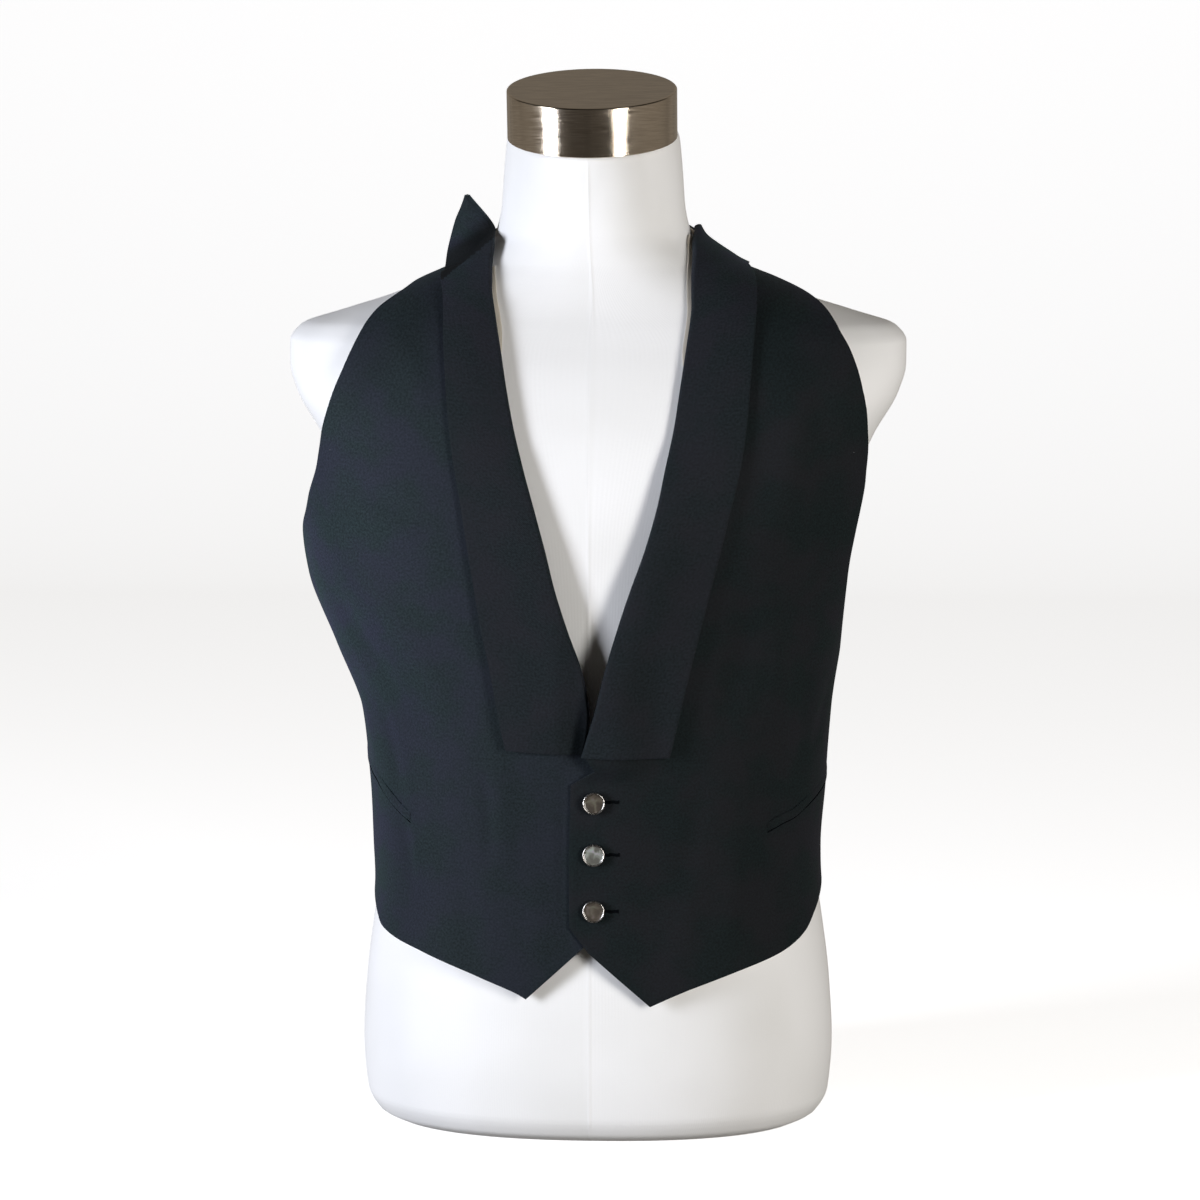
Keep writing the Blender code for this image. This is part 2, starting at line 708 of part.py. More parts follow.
def build_slide(material):
    """A flat frame with a bar across its middle."""
    middle = off_cloth(STRAP_MIDDLE, math.radians(SLIDE_ANGLE), SLIDE_LEVEL)
    outward = (middle - off_cloth(STRAP_MIDDLE, math.radians(SLIDE_ANGLE), 0.0)).normalized()
    along = Vector((0.0, 0.0, 1.0)).cross(outward).normalized()
    frame = Matrix((along, outward.cross(along), outward)).transposed().to_4x4()
    frame.translation = middle
    window = (SLIDE_LENGTH - 3 * SLIDE_BAR) / 2
    outline = bpy.data.curves.new("slide_outline", "CURVE")
    outline.dimensions = "2D"
    outline.fill_mode = "BOTH"
    outline.extrude = SLIDE_THICK / 2
    shapes = [(0.0, SLIDE_LENGTH, SLIDE_HEIGHT)]
    for sign in (-1, 1):
        shapes.append((sign * (window + SLIDE_BAR) / 2, window, SLIDE_HEIGHT - 2 * SLIDE_BAR))
    for centre, length, height in shapes:
        spline = outline.splines.new("POLY")
        spline.points.add(3)
        corners = ((-1, -1), (1, -1), (1, 1), (-1, 1))
        for point, (sx, sy) in zip(spline.points, corners):
            point.co = (centre + sx * length / 2, sy * height / 2, 0.0, 1.0)
        spline.use_cyclic_u = True
    drawn = bpy.data.objects.new("slide_outline", outline)
    bpy.context.scene.collection.objects.link(drawn)
    shown = drawn.evaluated_get(bpy.context.evaluated_depsgraph_get())
    mesh = bpy.data.meshes.new_from_object(shown)
    bpy.data.objects.remove(drawn, do_unlink=True)
    work = bmesh.new()
    work.from_mesh(mesh)
    bmesh.ops.remove_doubles(work, verts=work.verts, dist=0.00001)
    work.to_mesh(mesh)
    work.free()
    item = add_object("strap_slide", mesh, material)
    item.matrix_world = frame
    return item


def build_button(number, material):
    """A turned button with a raised rim and a dished middle."""
    radius, thick = BUTTON_DIAMETER / 2, BUTTON_THICKNESS
    profile = ((0, thick * 0.62), (radius * 0.52, thick * 0.66), (radius * 0.62, thick * 0.84),
               (radius * 0.74, thick), (radius * 0.88, thick * 0.97), (radius, thick * 0.62),
               (radius * 0.96, thick * 0.3), (radius * 0.7, thick * 0.06), (radius * 0.3, 0), (0, 0))
    item = turned_body(f"button_{number}", profile, 28, material)
    height = BUTTON_HEIGHTS[number - 1]
    tilt = math.radians(BUTTON_TILTS[number - 1])
    rise = 0.7 * radius * math.sin(tilt)
    out = cloth_normal(BUTTON_ACROSS, height)
    item.location = surface_point("left", BUTTON_ACROSS, height, CLOTH + 1.5 * TOUCH_GAP + rise)
    turn = out.to_track_quat("Z", "Y").to_matrix().to_4x4()
    item.rotation_euler = (turn @ Matrix.Rotation(tilt, 4, "Y")).to_euler()
    return item


def build():
    clear_scene()
    group = bpy.data.collections.new("backless_waistcoat")
    bpy.context.scene.collection.children.link(group)
    finish = {name: make_material(name) for name in FINISHES}
    build_dress_form(finish["white_jersey"])
    build_neck_cap(finish["brushed_nickel"])
    for side in ("right", "left"):
        build_front(side, finish["black_worsted"])
        build_lapel(side, finish["black_worsted"])
        build_welt(side, finish["black_worsted"])
    build_band("neck_band", 0.0, 0.0, CLOTH, finish["black_worsted"])
    build_band("neck_band_lining", LINING_MARGIN, -TOUCH_GAP - LINING_CLOTH, LINING_CLOTH,
               finish["cream_lining"])
    build_straps(finish["black_worsted"])
    build_slide(finish["nickel_plate"])
    for number in range(1, len(BUTTON_HEIGHTS) + 1):
        build_button(number, finish["smoky_pearl"])


build()
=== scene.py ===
"""Looks of the backless evening waistcoat on its dress form.

Millimetres in the tables and in the making of each net; metres in the finished meshes, their
charts, the camera and the studio. Z up, front towards -Y. Left and right are the wearer's. A
place on the cloth is given as across, the way round from the centre front, and height.
"""

import math

import bmesh
import bpy
import numpy as np
from mathutils import Matrix, Vector


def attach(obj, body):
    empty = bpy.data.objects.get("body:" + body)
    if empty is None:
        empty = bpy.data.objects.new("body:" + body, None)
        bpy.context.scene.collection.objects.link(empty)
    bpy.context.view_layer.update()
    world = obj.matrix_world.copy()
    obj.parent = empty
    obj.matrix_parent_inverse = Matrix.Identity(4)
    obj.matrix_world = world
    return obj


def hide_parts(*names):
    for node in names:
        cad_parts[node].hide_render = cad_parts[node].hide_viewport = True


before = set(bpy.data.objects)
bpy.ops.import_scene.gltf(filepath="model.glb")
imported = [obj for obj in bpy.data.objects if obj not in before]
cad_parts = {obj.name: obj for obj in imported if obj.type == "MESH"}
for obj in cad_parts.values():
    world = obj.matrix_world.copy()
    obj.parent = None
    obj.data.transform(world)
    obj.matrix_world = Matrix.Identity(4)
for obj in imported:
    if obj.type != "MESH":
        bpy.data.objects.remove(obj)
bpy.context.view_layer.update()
MM = 0.001

# ---- the camera --------------------------------------------------------------------------------
MIDDLE_Y = 8.2
CAMERA_TURN = math.radians(3.2)
CAMERA_WAY = 3.2
CAMERA_HEIGHT = 0.7845
AIM = Vector((0.0014, MIDDLE_Y * MM, 0.3765))
LENS = 133.486


def place_camera():
    """The camera where the photo was taken, a little from the viewer's right."""
    camera = bpy.data.objects.new("camera", bpy.data.cameras.new("camera"))
    bpy.context.scene.collection.objects.link(camera)
    camera.location = (AIM.x + CAMERA_WAY * math.sin(CAMERA_TURN),
                       AIM.y - CAMERA_WAY * math.cos(CAMERA_TURN), CAMERA_HEIGHT)
    camera.rotation_euler = (AIM - camera.location).to_track_quat("-Z", "Y").to_euler()
    camera.data.lens = LENS
    camera.data.sensor_width = 36
    bpy.context.scene.camera = camera


place_camera()

# ---- sizes in mm -------------------------------------------------------------------------------
# thickness of each cloth, and the space between pieces that meet
CLOTH = 1.6
LAPEL_CLOTH = 1.2
LINING_CLOTH = 0.9
STRAP_CLOTH = 1.2
EDGE_LINING_CLOTH = 0.5
GAP = 0.4

# the buttons: their size, heights, tilts in degrees and place across
BUTTON_DIAMETER = 16
BUTTON_THICKNESS = 3.2
BUTTON_HEIGHTS = (249.5, 212.5, 172.5)
BUTTON_TILTS = (7.0, 2.0, 1.0)
BUTTON_ACROSS = 4.0

# the upper front's lift at the lap and at the foot of the opening, the under one's sink there,
# and between which heights and ways across each of them begins and ends
LAP_LIFT, TIP_LIFT, LAP_SINK = 2.1, 9.0, 5.0
LIFT_BEGINS, LIFT_ENDS, LIFT_ACROSS = (262, 280), (312, 385), (14, 52)
SINK_BEGINS, SINK_ENDS, SINK_ACROSS = (262, 292), (345, 400), (2, 24)

# the neck stands to the side, more and more between two heights, and leans forward from a third
NECK_SIDE_SHIFT = -3.2
NECK_SHIFTS_FROM, NECK_SHIFTS_TO = 590, 650
NECK_TOP = 710.5
NECK_LEAN = math.radians(13.0)
NECK_LEAN_FROM = 641
CAP_RADIUS = 60.6
CAP_HEIGHT = 35.3
CAP_EDGE = 1.2

# height, half width, front depth, back depth, squareness of the ring
FORM_RINGS = (
    (0, 150, 99, 96, 2.3), (6, 161, 110, 107, 2.3), (20, 168.5, 117, 114.5, 2.3),
    (56, 171.3, 120, 119, 2.3), (100, 169, 119.5, 119, 2.3), (150, 162.8, 117, 112, 2.25),
    (200, 154.5, 113, 100, 2.2), (250, 150, 110, 93, 2.2), (300, 152, 112, 95, 2.2),
    (350, 159, 117, 103, 2.2), (400, 167, 122, 111, 2.25), (440, 176, 125, 117, 2.35),
    (470, 186, 122.5, 117.5, 2.5), (500, 199, 116.5, 115, 2.65), (530, 216, 106, 109, 2.75),
    (550, 221.4, 96.5, 103, 2.75), (566, 221.5, 87, 96.5, 2.7), (577, 213.6, 80.5, 91, 2.55),
    (586, 187, 75, 86, 2.4), (598, 149, 69, 79, 2.2), (610, 118, 64, 72, 2.1),
    (622, 92, 60, 66, 2.05), (641, 71, 57.5, 60, 2), (662, 65.7, 61, 55, 2), (680, 64.4, 65, 51, 2),
    (702, 62.4, 70, 46, 2), (708, 61.4, 69.8, 43.6, 2), (710.5, 60.2, 68.4, 40.4, 2),
)

# height, ease at the right side, at the left side, at the front, at the back
CLOTH_EASE = (
    (90, 4, 4, 6, 4), (130, 2.5, 2.5, 7.5, 4), (160, 1.5, 1.5, 8.5, 5), (200, 7.5, 6, 11.5, 7),
    (250, 14, 14.5, 14, 8), (300, 17.5, 15.5, 13.5, 8), (350, 29.5, 16, 9.5, 8),
    (400, 41, 21, 6.5, 8), (440, 41, 24, 5, 8), (470, 31.5, 20, 4.5, 8), (500, 16, 15, 4.5, 8),
    (530, 8, 8, 4.5, 8), (566, 7, 7, 4.5, 8), (586, 8.5, 9, 5, 8), (610, 5.2, 9.5, 5.5, 7),
    (622, 5.6, 7.5, 6, 6), (641, 5, 5.5, 6, 5.5), (665, 5, 5.5, 6, 6),
)

# ---- cut edges: runs of (across, height) with the number of steps along each run ----------------
# the shoulder seam is at this many degrees round the body
SHOULDER_TURN = 98.0
FRONT_EDGES = {
    "right": {
        "lap": ((((4, 145), (-12, 160)), 2), (((-12, 160), (-12, 205), (-12, 262)), 7),
                (((-12, 262), (-7, 275), (1, 281.5)), 2)),
        "hem": ((((4, 145), (44, 108)), 3),
                (((44, 108), (56, 114), (91, 126), (127, 136), (152, 141), (168, 144.5),
                  (178, 147.5), (187, 153), (199, 159.5), (215, 166), (240, 173), (286, 179)), 16)),
        "end": (((286, 179), (289, 222), (291, 268)), 8),
        "armhole": ((291, 268), (286, 290), (275, 330), (267, 368), (256, 400), (240, 431),
                    (226, 447), (218.5, 462), (209.5, 477), (205, 492), (200, 506), (192.5, 520),
                    (185.5, 534), (178, 548.5), (171.5, 562), (164.5, 576), (157.5, 590),
                    (149, 602), (152.5, 608)),
        "above_lapel": ((87, 623.5), (95, 632), (106, 640.5)),
    },
    "left": {
        "lap": ((((0, 142.5), (-13, 160)), 2), (((-13, 160), (-13, 210), (-12, 262)), 7),
                (((-12, 262), (5, 273)), 2)),
        "hem": ((((0, 142.5), (43.5, 103.5)), 3),
                (((43.5, 103.5), (70.5, 114.5), (108, 126), (147, 136), (173, 146), (191, 157),
                  (212, 167), (231, 173), (256, 177.5), (286, 179)), 16)),
        "end": (((286, 179), (288, 222), (289, 268)), 8),
        "armhole": ((289, 268), (275, 288), (252, 312), (229, 345), (215, 375), (208.5, 406),
                    (208.5, 435), (211.5, 464), (210, 478), (208, 493), (204, 508), (200, 522),
                    (195, 536), (190, 550), (183.5, 564), (175.5, 577.5), (171, 590), (168.5, 602),
                    (165.5, 609)),
        "above_lapel": (),
    },
}
SHOULDER_TOP = 645
SHOULDER_FOOT = 614
# steps below and above the height where the shoulder starts to curve, and along its seam
CLOSE_ROWS_FROM = 545
OPENING_STEPS = (11, 12)
ARMHOLE_STEPS = (15, 12)
SHOULDER_STEPS = 19
# the opening's cut edge lies this far inside the roll, and stops this far short of the shoulder
ROLL_ROOM = 3.0
SHOULDER_ROOM = 6

# rows of a lapel from its lower end up: across and height of the roll edge, then of the free edge
LAPEL_ROWS = {
    "right": (
        (3, 283, 56, 286), (0, 298, 60, 302), (-1, 312, 63, 318), (1, 329, 66, 334),
        (5, 346, 69, 350), (9.5, 359, 72, 363), (14, 372, 74.5, 376), (22.5, 400, 79, 404),
        (29.2, 428, 83.5, 432), (37, 456, 88, 460), (44.8, 483, 93, 487), (52, 510, 97, 514),
        (58, 538, 100, 541), (63, 564, 102.5, 566), (68, 588, 104.5, 588), (71, 602, 107.5, 600),
        (72.2, 613, 112, 607), (74.3, 622, 116.5, 612),
    ),
    "left": (
        (-4.3, 283, 55.7, 281.5), (0, 298, 59.5, 297), (4.3, 312, 62.5, 310),
        (8.5, 329.5, 66.5, 328), (12.7, 347, 71, 346), (20, 372, 77.5, 372), (29, 400, 84, 398),
        (39, 428, 91, 426), (47.5, 456, 97.5, 453), (53.5, 484, 104, 480), (59, 510, 108.5, 507),
        (63, 538, 111, 537), (66.5, 564, 113, 564), (69.5, 588, 115, 587), (70, 602, 117, 600),
        (72, 616, 121, 610), (78, 629, 128, 616), (86.5, 639, 137, 618.5), (99, 645, 145, 618.5),
        (111, 648, 152, 617.5),
    ),
}
# how the cloth of a lapel turns round the edge of the front: out from the roll, off the surface
ROLL_SECTION = ((5.4, -1.6), (2.9, -1.65), (0.85, -1.1), (0.0, 0.8), (0.85, 2.7), (2.6, 3.1))
# how far a lapel bulges between its edges, and how far its free edge stands off, by height
LAPEL_BULGE = 1.3
LAPEL_EDGE_LIFTS = {"right": ((283, 3.6), (400, 1.8), (540, 0.8)),
                    "left": ((283, 3.0), (400, 1.5), (540, 0.8))}

# the right collar end stands up: inner and outer edge of each level, x, y, z
COLLAR_POINT = (
    ((-72.6, -40.5, 631.5), (-106.5, -20.5, 617)), ((-72.6, -35, 639.3), (-105, -14, 629.5)),
    ((-74, -26, 646), (-102.8, -6.5, 641)), ((-78, -20, 652), (-100, -4, 651.8)),
    ((-83.4, -14.5, 658.5), (-97.2, -5, 660.2)), ((-89.8, -10.5, 665.6), (-94.2, -7.5, 668)),
    ((-92.3, -9, 668.7), (-93.6, -8.2, 669.3)),
)
# where it is narrower than this its roll shrinks with it, but not below the least share
COLLAR_FULL_WIDTH, COLLAR_LEAST_ROLL = 30, 0.55
# its slanting fold: the rise for each mm across, and the height at x = 0
FOLD_RISE, FOLD_FOOT = 0.8, 697.6
# how far the collar end is set back beside the neck, between which distances above the fold, and
# from which outer place over which width it grows to that
FOLD_BACK = 14.0
FOLD_TURNS = (-1.0, 6.0)
FOLD_OUTER_END, FOLD_WIDTH = -101, 28
# between which distances above the fold the painted shade gives way to the full sheen again
FOLD_SHADE_FADES = (10.0, 27.0)

# how far a front's worsted facing reaches inside its roll
FACING_WIDTH = 52

# the cream lining inside the roll: height up the lapel and how far it shows, its width and level
EDGE_LINING_PEEPS = {"right": ((562, 0.1), (584, 3.2), (602, 2.4), (624, 0.3)),
                     "left": ((553, 0.3), (568, 2.6), (610, 2.4), (643, 1.8))}
EDGE_LINING_WIDTH = 9.0
EDGE_LINING_OFF = -3.3

# lower edge of each pocket welt, front end first: across, height
WELT_LINES = {
    "right": ((137, 228), (147.5, 232), (156, 236.5), (165, 242), (174, 247), (186, 254),
              (205, 261), (225, 267), (250, 273)),
    "left": ((134, 223.5), (146, 228), (159, 231), (172, 236), (184, 240), (200, 244.5),
             (225, 250), (250, 255)),
}
WELT_WIDTH = 6.2
WELT_GAP = 0.1
# its crown, the drop of its upper edge, and how deep it sinks near the front end and further round
WELT_CROWN, WELT_DROP = 0.25, 0.45
WELT_END_SINK, WELT_END_RUN = 1.1, 6
WELT_FAR_SINK, WELT_FAR_RUN = 0.9, (164, 184)
WELT_SEAM_BELOW = 0.95
TACK_ROOM = 0.3

# height of each buttonhole, its start and end across
BUTTONHOLES = ((250.1, 11.6, 20.9), (212.6, 11.8, 21.3), (172.3, 11.4, 20.6))
# half the distance between its lips, how they waver, and half the length of the bar at its end
LIP_HALF = 0.5225
LIP_WAVER = 0.18
BAR_HALF = 1.1

# the neck band starts at this many degrees round; its lining's lower edge is higher by the margin
BAND_START = 98.8
LINING_MARGIN = 1.5
# share of the way to the centre back, height of the lower edge, of the upper edge
BAND_EDGES = ((0.0, 614, 640.5), (0.12, 613, 643.5), (0.35, 611, 649), (1.0, 611, 652))

# the waist strap and its slide, which stands at an angle round the body and off the cloth
STRAP_WIDTH = 30
STRAP_MIDDLE = 230
SLIDE_ANGLE = 200.0
SLIDE_LENGTH = 30
SLIDE_HEIGHT = 38
SLIDE_BAR = 3
SLIDE_WIRE = 1.8
SLIDE_ROUNDING = 0.35
SLIDE_CORNER, WINDOW_CORNER = 2.2, 0.5
SLIDE_LEVEL = 4.0
# the ends of the strap inside the fronts: degrees round the body, off the cloth surface
LEFT_STRAP_START = ((112, -1.2), (116.5, -1.2), (121, -1.2), (125, 0.3), (130, 0.9))
RIGHT_STRAP_END = ((234, 0.3), (238, -1.2), (243, -1.2), (248, -1.2))
# along the strap from the slide's middle and off the body
LEFT_STRAP_AT_SLIDE = ((-46, 0.9), (-24, 0.9), (-15, 0.9), (-11.5, 1.2), (-8.6, 2.8), (-6.0, 5.0),
                       (-3.0, 6.7), (0, 7.1), (2.2, 6.7), (4.2, 4.8), (6.0, 2.6), (8.0, 0.8),
                       (11, 0.1), (20, 0.0), (28, 0.0), (44, 0.0))
RIGHT_STRAP_AT_SLIDE = ((26, 1.6), (17, 1.65), (13.5, 1.7), (10.7, 1.8), (9.5, 2.9), (9.3, 4.3),
                        (9.7, 5.9), (10.9, 6.7), (13.5, 6.9), (17, 6.6), (28, 5.0), (44, 2.6),
                        (62, 0.6))

# ---- soft folds: across and height of both ends, sideways bend, half width, height of the fold ---
# across is + on the wearer's left; a fold below 0 is a trough
FOLDS = (
    (-205, 432, -96, 300, 10, 13, 2.8),
    (-214, 402, -120, 262, 8, 12, -2.6),
    (-192, 468, -122, 450, 3, 7, -2.4),
    (-186, 452, -118, 436, 3, 8, 1.6),
    (-172, 520, -110, 566, 6, 12, -1.8),
    (-150, 585, -112, 520, 4, 10, 1.6),
    (-76, 268, -70, 205, 2, 4.5, -1.8),
    (-66, 300, -62, 196, 2, 8, 1.3),
    (-128, 300, -118, 170, -6, 11, 1.8),
    (-150, 240, -140, 150, 5, 9, -1.8),
    (-96, 205, -84, 120, 3, 10, -1.4),
    (-176, 330, -150, 236, 6, 9, -1.7),
    (-232, 380, -182, 250, 9, 11, 1.8),
    (-40, 200, -34, 128, 2, 9, 0.8),
    (138, 560, 128, 430, 8, 14, 2.0),
    (166, 540, 170, 395, -5, 9, -1.8),
    (112, 400, 92, 296, 5, 11, -3.2),
    (136, 380, 132, 292, 3, 8, 1.8),
    (150, 372, 146, 262, -3, 6, 1.8),
    (166, 360, 160, 250, 4, 8, -1.5),
    (128, 250, 118, 150, 5, 9, -1.5),
    (106, 236, 98, 138, 3, 10, 1.2),
    (150, 216, 160, 152, -3, 8, 1.3),
    (80, 282, 58, 170, 5, 9, -1.1),
    (205, 330, 168, 268, 6, 9, -1.3),
    (70, 190, 60, 120, 2, 9, 0.7),
    (-17.5, 275, -17.5, 150, 0, 3.2, -1.1),
    # the cloth stands up along both edges of the opening
    (2, 298, 60, 500, 0, 24, 9.0),
    (2, 300, -52, 500, 0, 22, 4.0),
)
# slow unevenness of hanging cloth: turns across and up in radians per 100 mm, start, height
UNEVEN = ((1.8, 1.4, 0.4, 0.35), (3.4, -2.2, 2.1, 0.22), (-1.2, 3.8, 4.0, 0.25),
          (5.2, 4.6, 1.3, 0.12))
# it starts away from the lap and from the hem
UNEVEN_ACROSS, UNEVEN_UP = (18, 60), (100, 150)


# ---- surfaces ----------------------------------------------------------------------------------
def read_table(rows, key, column):
    """A column of a table at any keys, on a smooth curve that never overshoots its rows."""
    keys = np.array([row[0] for row in rows], float)
    values = np.array([row[column] for row in rows], float)
    steps = np.diff(values) / np.diff(keys)
    slopes = np.concatenate(([steps[0]], np.zeros(len(keys) - 2), [steps[-1]]))
    same_way = steps[:-1] * steps[1:] > 0
    total = np.where(same_way, steps[:-1] + steps[1:], 1.0)
    slopes[1:-1] = np.where(same_way, 2 * steps[:-1] * steps[1:] / total, 0.0)
    key = np.clip(np.asarray(key, float), keys[0], keys[-1])
    k = np.clip(np.searchsorted(keys, key, side="right") - 1, 0, len(keys) - 2)
    span = keys[k + 1] - keys[k]
    t = (key - keys[k]) / span
    start = (2 * t**3 - 3 * t**2 + 1) * values[k] + (t**3 - 2 * t**2 + t) * span * slopes[k]
    return start + (3 * t**2 - 2 * t**3) * values[k + 1] + (t**3 - t**2) * span * slopes[k + 1]


def ramp(value, low, high):
    """A soft step from 0 to 1 between two values."""
    t = np.clip((value - low) / (high - low), 0.0, 1.0)
    return t * t * (3 - 2 * t)


def neck_shift(height):
    """How far to the side the neck stands, as in the photo."""
    return NECK_SIDE_SHIFT * ramp(height, NECK_SHIFTS_FROM, NECK_SHIFTS_TO)


def ring_place(height, angle, eased):
    """Places on the form's rings, or on the cloth's where eased; angle 0 is the centre front."""
    height, angle = np.broadcast_arrays(np.asarray(height, float), np.asarray(angle, float))
    half, front, back, squareness = [read_table(FORM_RINGS, height, k) for k in (1, 2, 3, 4)]
    reaches = (half, half, front, back)
    if eased:
        reaches = [reach + read_table(CLOTH_EASE, height, k + 1) for k, reach in enumerate(reaches)]
    right, left, front, back = reaches
    sine, cosine = np.sin(angle), np.cos(angle)
    power = 2 / squareness
    x = np.where(sine >= 0, left, right) * np.sign(sine) * np.abs(sine) ** power
    y = -np.where(cosine >= 0, front, back) * np.sign(cosine) * np.abs(cosine) ** power
    return np.stack((x + neck_shift(height), y + MIDDLE_Y, height), axis=-1)


def unit(vectors):
    """The same ways, each of length one."""
    return vectors / np.maximum(np.linalg.norm(vectors, axis=-1, keepdims=True), 1e-9)


# reach of the cloth's chart: heights, and the way round on each side
LOWEST, HIGHEST, FARTHEST = 92, 672, 560
RING_STEPS = 240


def chart_cloth():
    """The cloth surface as places at every mm across and up, with the way out at each."""
    heights = np.arange(LOWEST, HIGHEST + 1.0)
    halves = []
    for side in (-1, 1):
        turns = side * np.linspace(0, math.pi, RING_STEPS + 1)
        rings = ring_place(heights[:, None], turns[None, :], True)
        steps = np.linalg.norm(np.diff(rings, axis=1), axis=-1)
        walked = np.concatenate((np.zeros((len(heights), 1)), np.cumsum(steps, axis=1)), axis=1)
        ways = np.arange(0, FARTHEST + 1.0)
        half = np.empty((len(heights), len(ways), 3))
        for i in range(len(heights)):
            for k in range(3):
                half[i, :, k] = np.interp(ways, walked[i], rings[i, :, k])
        halves.append(half)
    places = np.concatenate((halves[0][:, :0:-1], halves[1]), axis=1)
    return places, unit(np.cross(np.gradient(places, axis=1), np.gradient(places, axis=0)))


PLACES, WAYS_OUT = chart_cloth()


def read_chart(chart, across, height):
    """The chart's entry at any place, between its nearest four."""
    column = np.clip(across + FARTHEST, 0, chart.shape[1] - 1.001)
    row = np.clip(height - LOWEST, 0, chart.shape[0] - 1.001)
    i, j = row.astype(int), column.astype(int)
    u, v = (column - j)[..., None], (row - i)[..., None]
    low = chart[i, j] * (1 - u) + chart[i, j + 1] * u
    return low * (1 - v) + (chart[i + 1, j] * (1 - u) + chart[i + 1, j + 1] * u) * v


def fold_level(across, height):
    """How far the folds carry the cloth off its smooth surface."""
    level = np.zeros(np.shape(across))
    for start_a, start_h, end_a, end_h, bend, width, rise in FOLDS:
        run_a, run_h = end_a - start_a, end_h - start_h
        length = math.hypot(run_a, run_h)
        share = ((across - start_a) * run_a + (height - start_h) * run_h) / length**2
        inside = np.clip(share, 0, 1)
        aside = ((height - start_h) * run_a - (across - start_a) * run_h) / length
        aside = aside - bend * 4 * inside * (1 - inside)
        level = level + rise * np.sin(math.pi * inside) ** 0.8 * np.exp(-(aside / width) ** 2)
    loose = ramp(np.abs(across), *UNEVEN_ACROSS) * ramp(height, *UNEVEN_UP)
    for turn_a, turn_h, start, rise in UNEVEN:
        level = level + rise * loose * np.sin((turn_a * across + turn_h * height) / 100 + start)
    return level


def swell(height, across, begins, ends, fades):
    """From 0 to 1 up to where it begins, back to 0 where it ends, and fading out across."""
    return ramp(height, *begins) * (1 - ramp(height, *ends)) * (1 - ramp(across, *fades))


def lap_lift(across, height):
    """How far the upper front and its lapel ride over what lies under them at the lap."""
    at_lap = LAP_LIFT * (1 - ramp(height, *LIFT_ENDS)) * (1 - ramp(across, *LIFT_ACROSS))
    at_tip = swell(height, across, LIFT_BEGINS, LIFT_ENDS, LIFT_ACROSS)
    return at_lap + (TIP_LIFT - LAP_LIFT) * at_tip


def lap_sink(across, height):
    """How far the under front and its lapel sink at the foot of the opening."""
    return LAP_SINK * swell(height, across, SINK_BEGINS, SINK_ENDS, SINK_ACROSS)


def on_cloth(side, across, height, off):
    """Places off the cloth surface of one side, folds and lap included."""
    across, height = np.asarray(across, float), np.asarray(height, float)
    sign = 1 if side == "left" else -1
    level = off + fold_level(sign * across, height)
    level = level + (lap_lift(across, height) if side == "left" else -lap_sink(across, height))
    out = unit(read_chart(WAYS_OUT, sign * across, height))
    return read_chart(PLACES, sign * across, height) + out * level[..., None]


def round_cloth(turn, height, off):
    """Places off the cloth surface at degrees round the body from the centre front."""
    angle, step, rise = np.radians(turn), math.radians(0.5), 1.5
    round_way = ring_place(height, angle + step, True) - ring_place(height, angle - step, True)
    up_way = ring_place(height + rise, angle, True) - ring_place(height - rise, angle, True)
    out = unit(np.cross(round_way, up_way))
    return ring_place(height, angle, True) + out * np.asarray(off)[..., None]


def way_round(turn, height, sign):
    """The way round from the centre front to a turn in degrees."""
    angles = sign * np.linspace(0, math.radians(turn), RING_STEPS)
    ring = ring_place(height, angles, True)
    return float(np.linalg.norm(np.diff(ring, axis=0), axis=-1).sum())


# ---- smooth runs and nets ----------------------------------------------------------------------
def smooth(points, fine):
    """More points on a Catmull-Rom curve through the given ones."""
    points = np.asarray(points, float)
    padded = np.concatenate((points[:1], points, points[-1:]))
    line = [points[0]]
    for k in range(len(points) - 1):
        a, b, c, d = padded[k:k + 4]
        for step in range(1, fine + 1):
            t = step / fine
            bend = 2 * a - 5 * b + 4 * c - d + t * (3 * (b - c) + d - a)
            line.append(b + 0.5 * t * (c - a + t * bend))
    return np.array(line)


WALK_FINE = 12


def walk(points, steps):
    """Places at equal distances along a smooth run."""
    line = smooth(points, WALK_FINE)
    walked = np.concatenate(([0.0], np.cumsum(np.linalg.norm(np.diff(line, axis=0), axis=1))))
    ways = np.linspace(0, walked[-1], steps + 1)
    return np.stack([np.interp(ways, walked, line[:, k]) for k in range(line.shape[1])], axis=1)


# steps of the net for each step in the tables of the cut edges
FINER = 5


def cut_edge(runs):
    """A cut edge as places at equal distances along each of its runs."""
    places = []
    for points, steps in runs:
        places.append(walk(points, steps * FINER)[1 if places else 0:])
    return np.concatenate(places)


def split_run(points, steps):
    """A run in two, with closer steps where the shoulder curves."""
    k = next(k for k, point in enumerate(points) if point[1] > CLOSE_ROWS_FROM)
    return (points[:k + 1], steps[0]), (points[k:], steps[1])


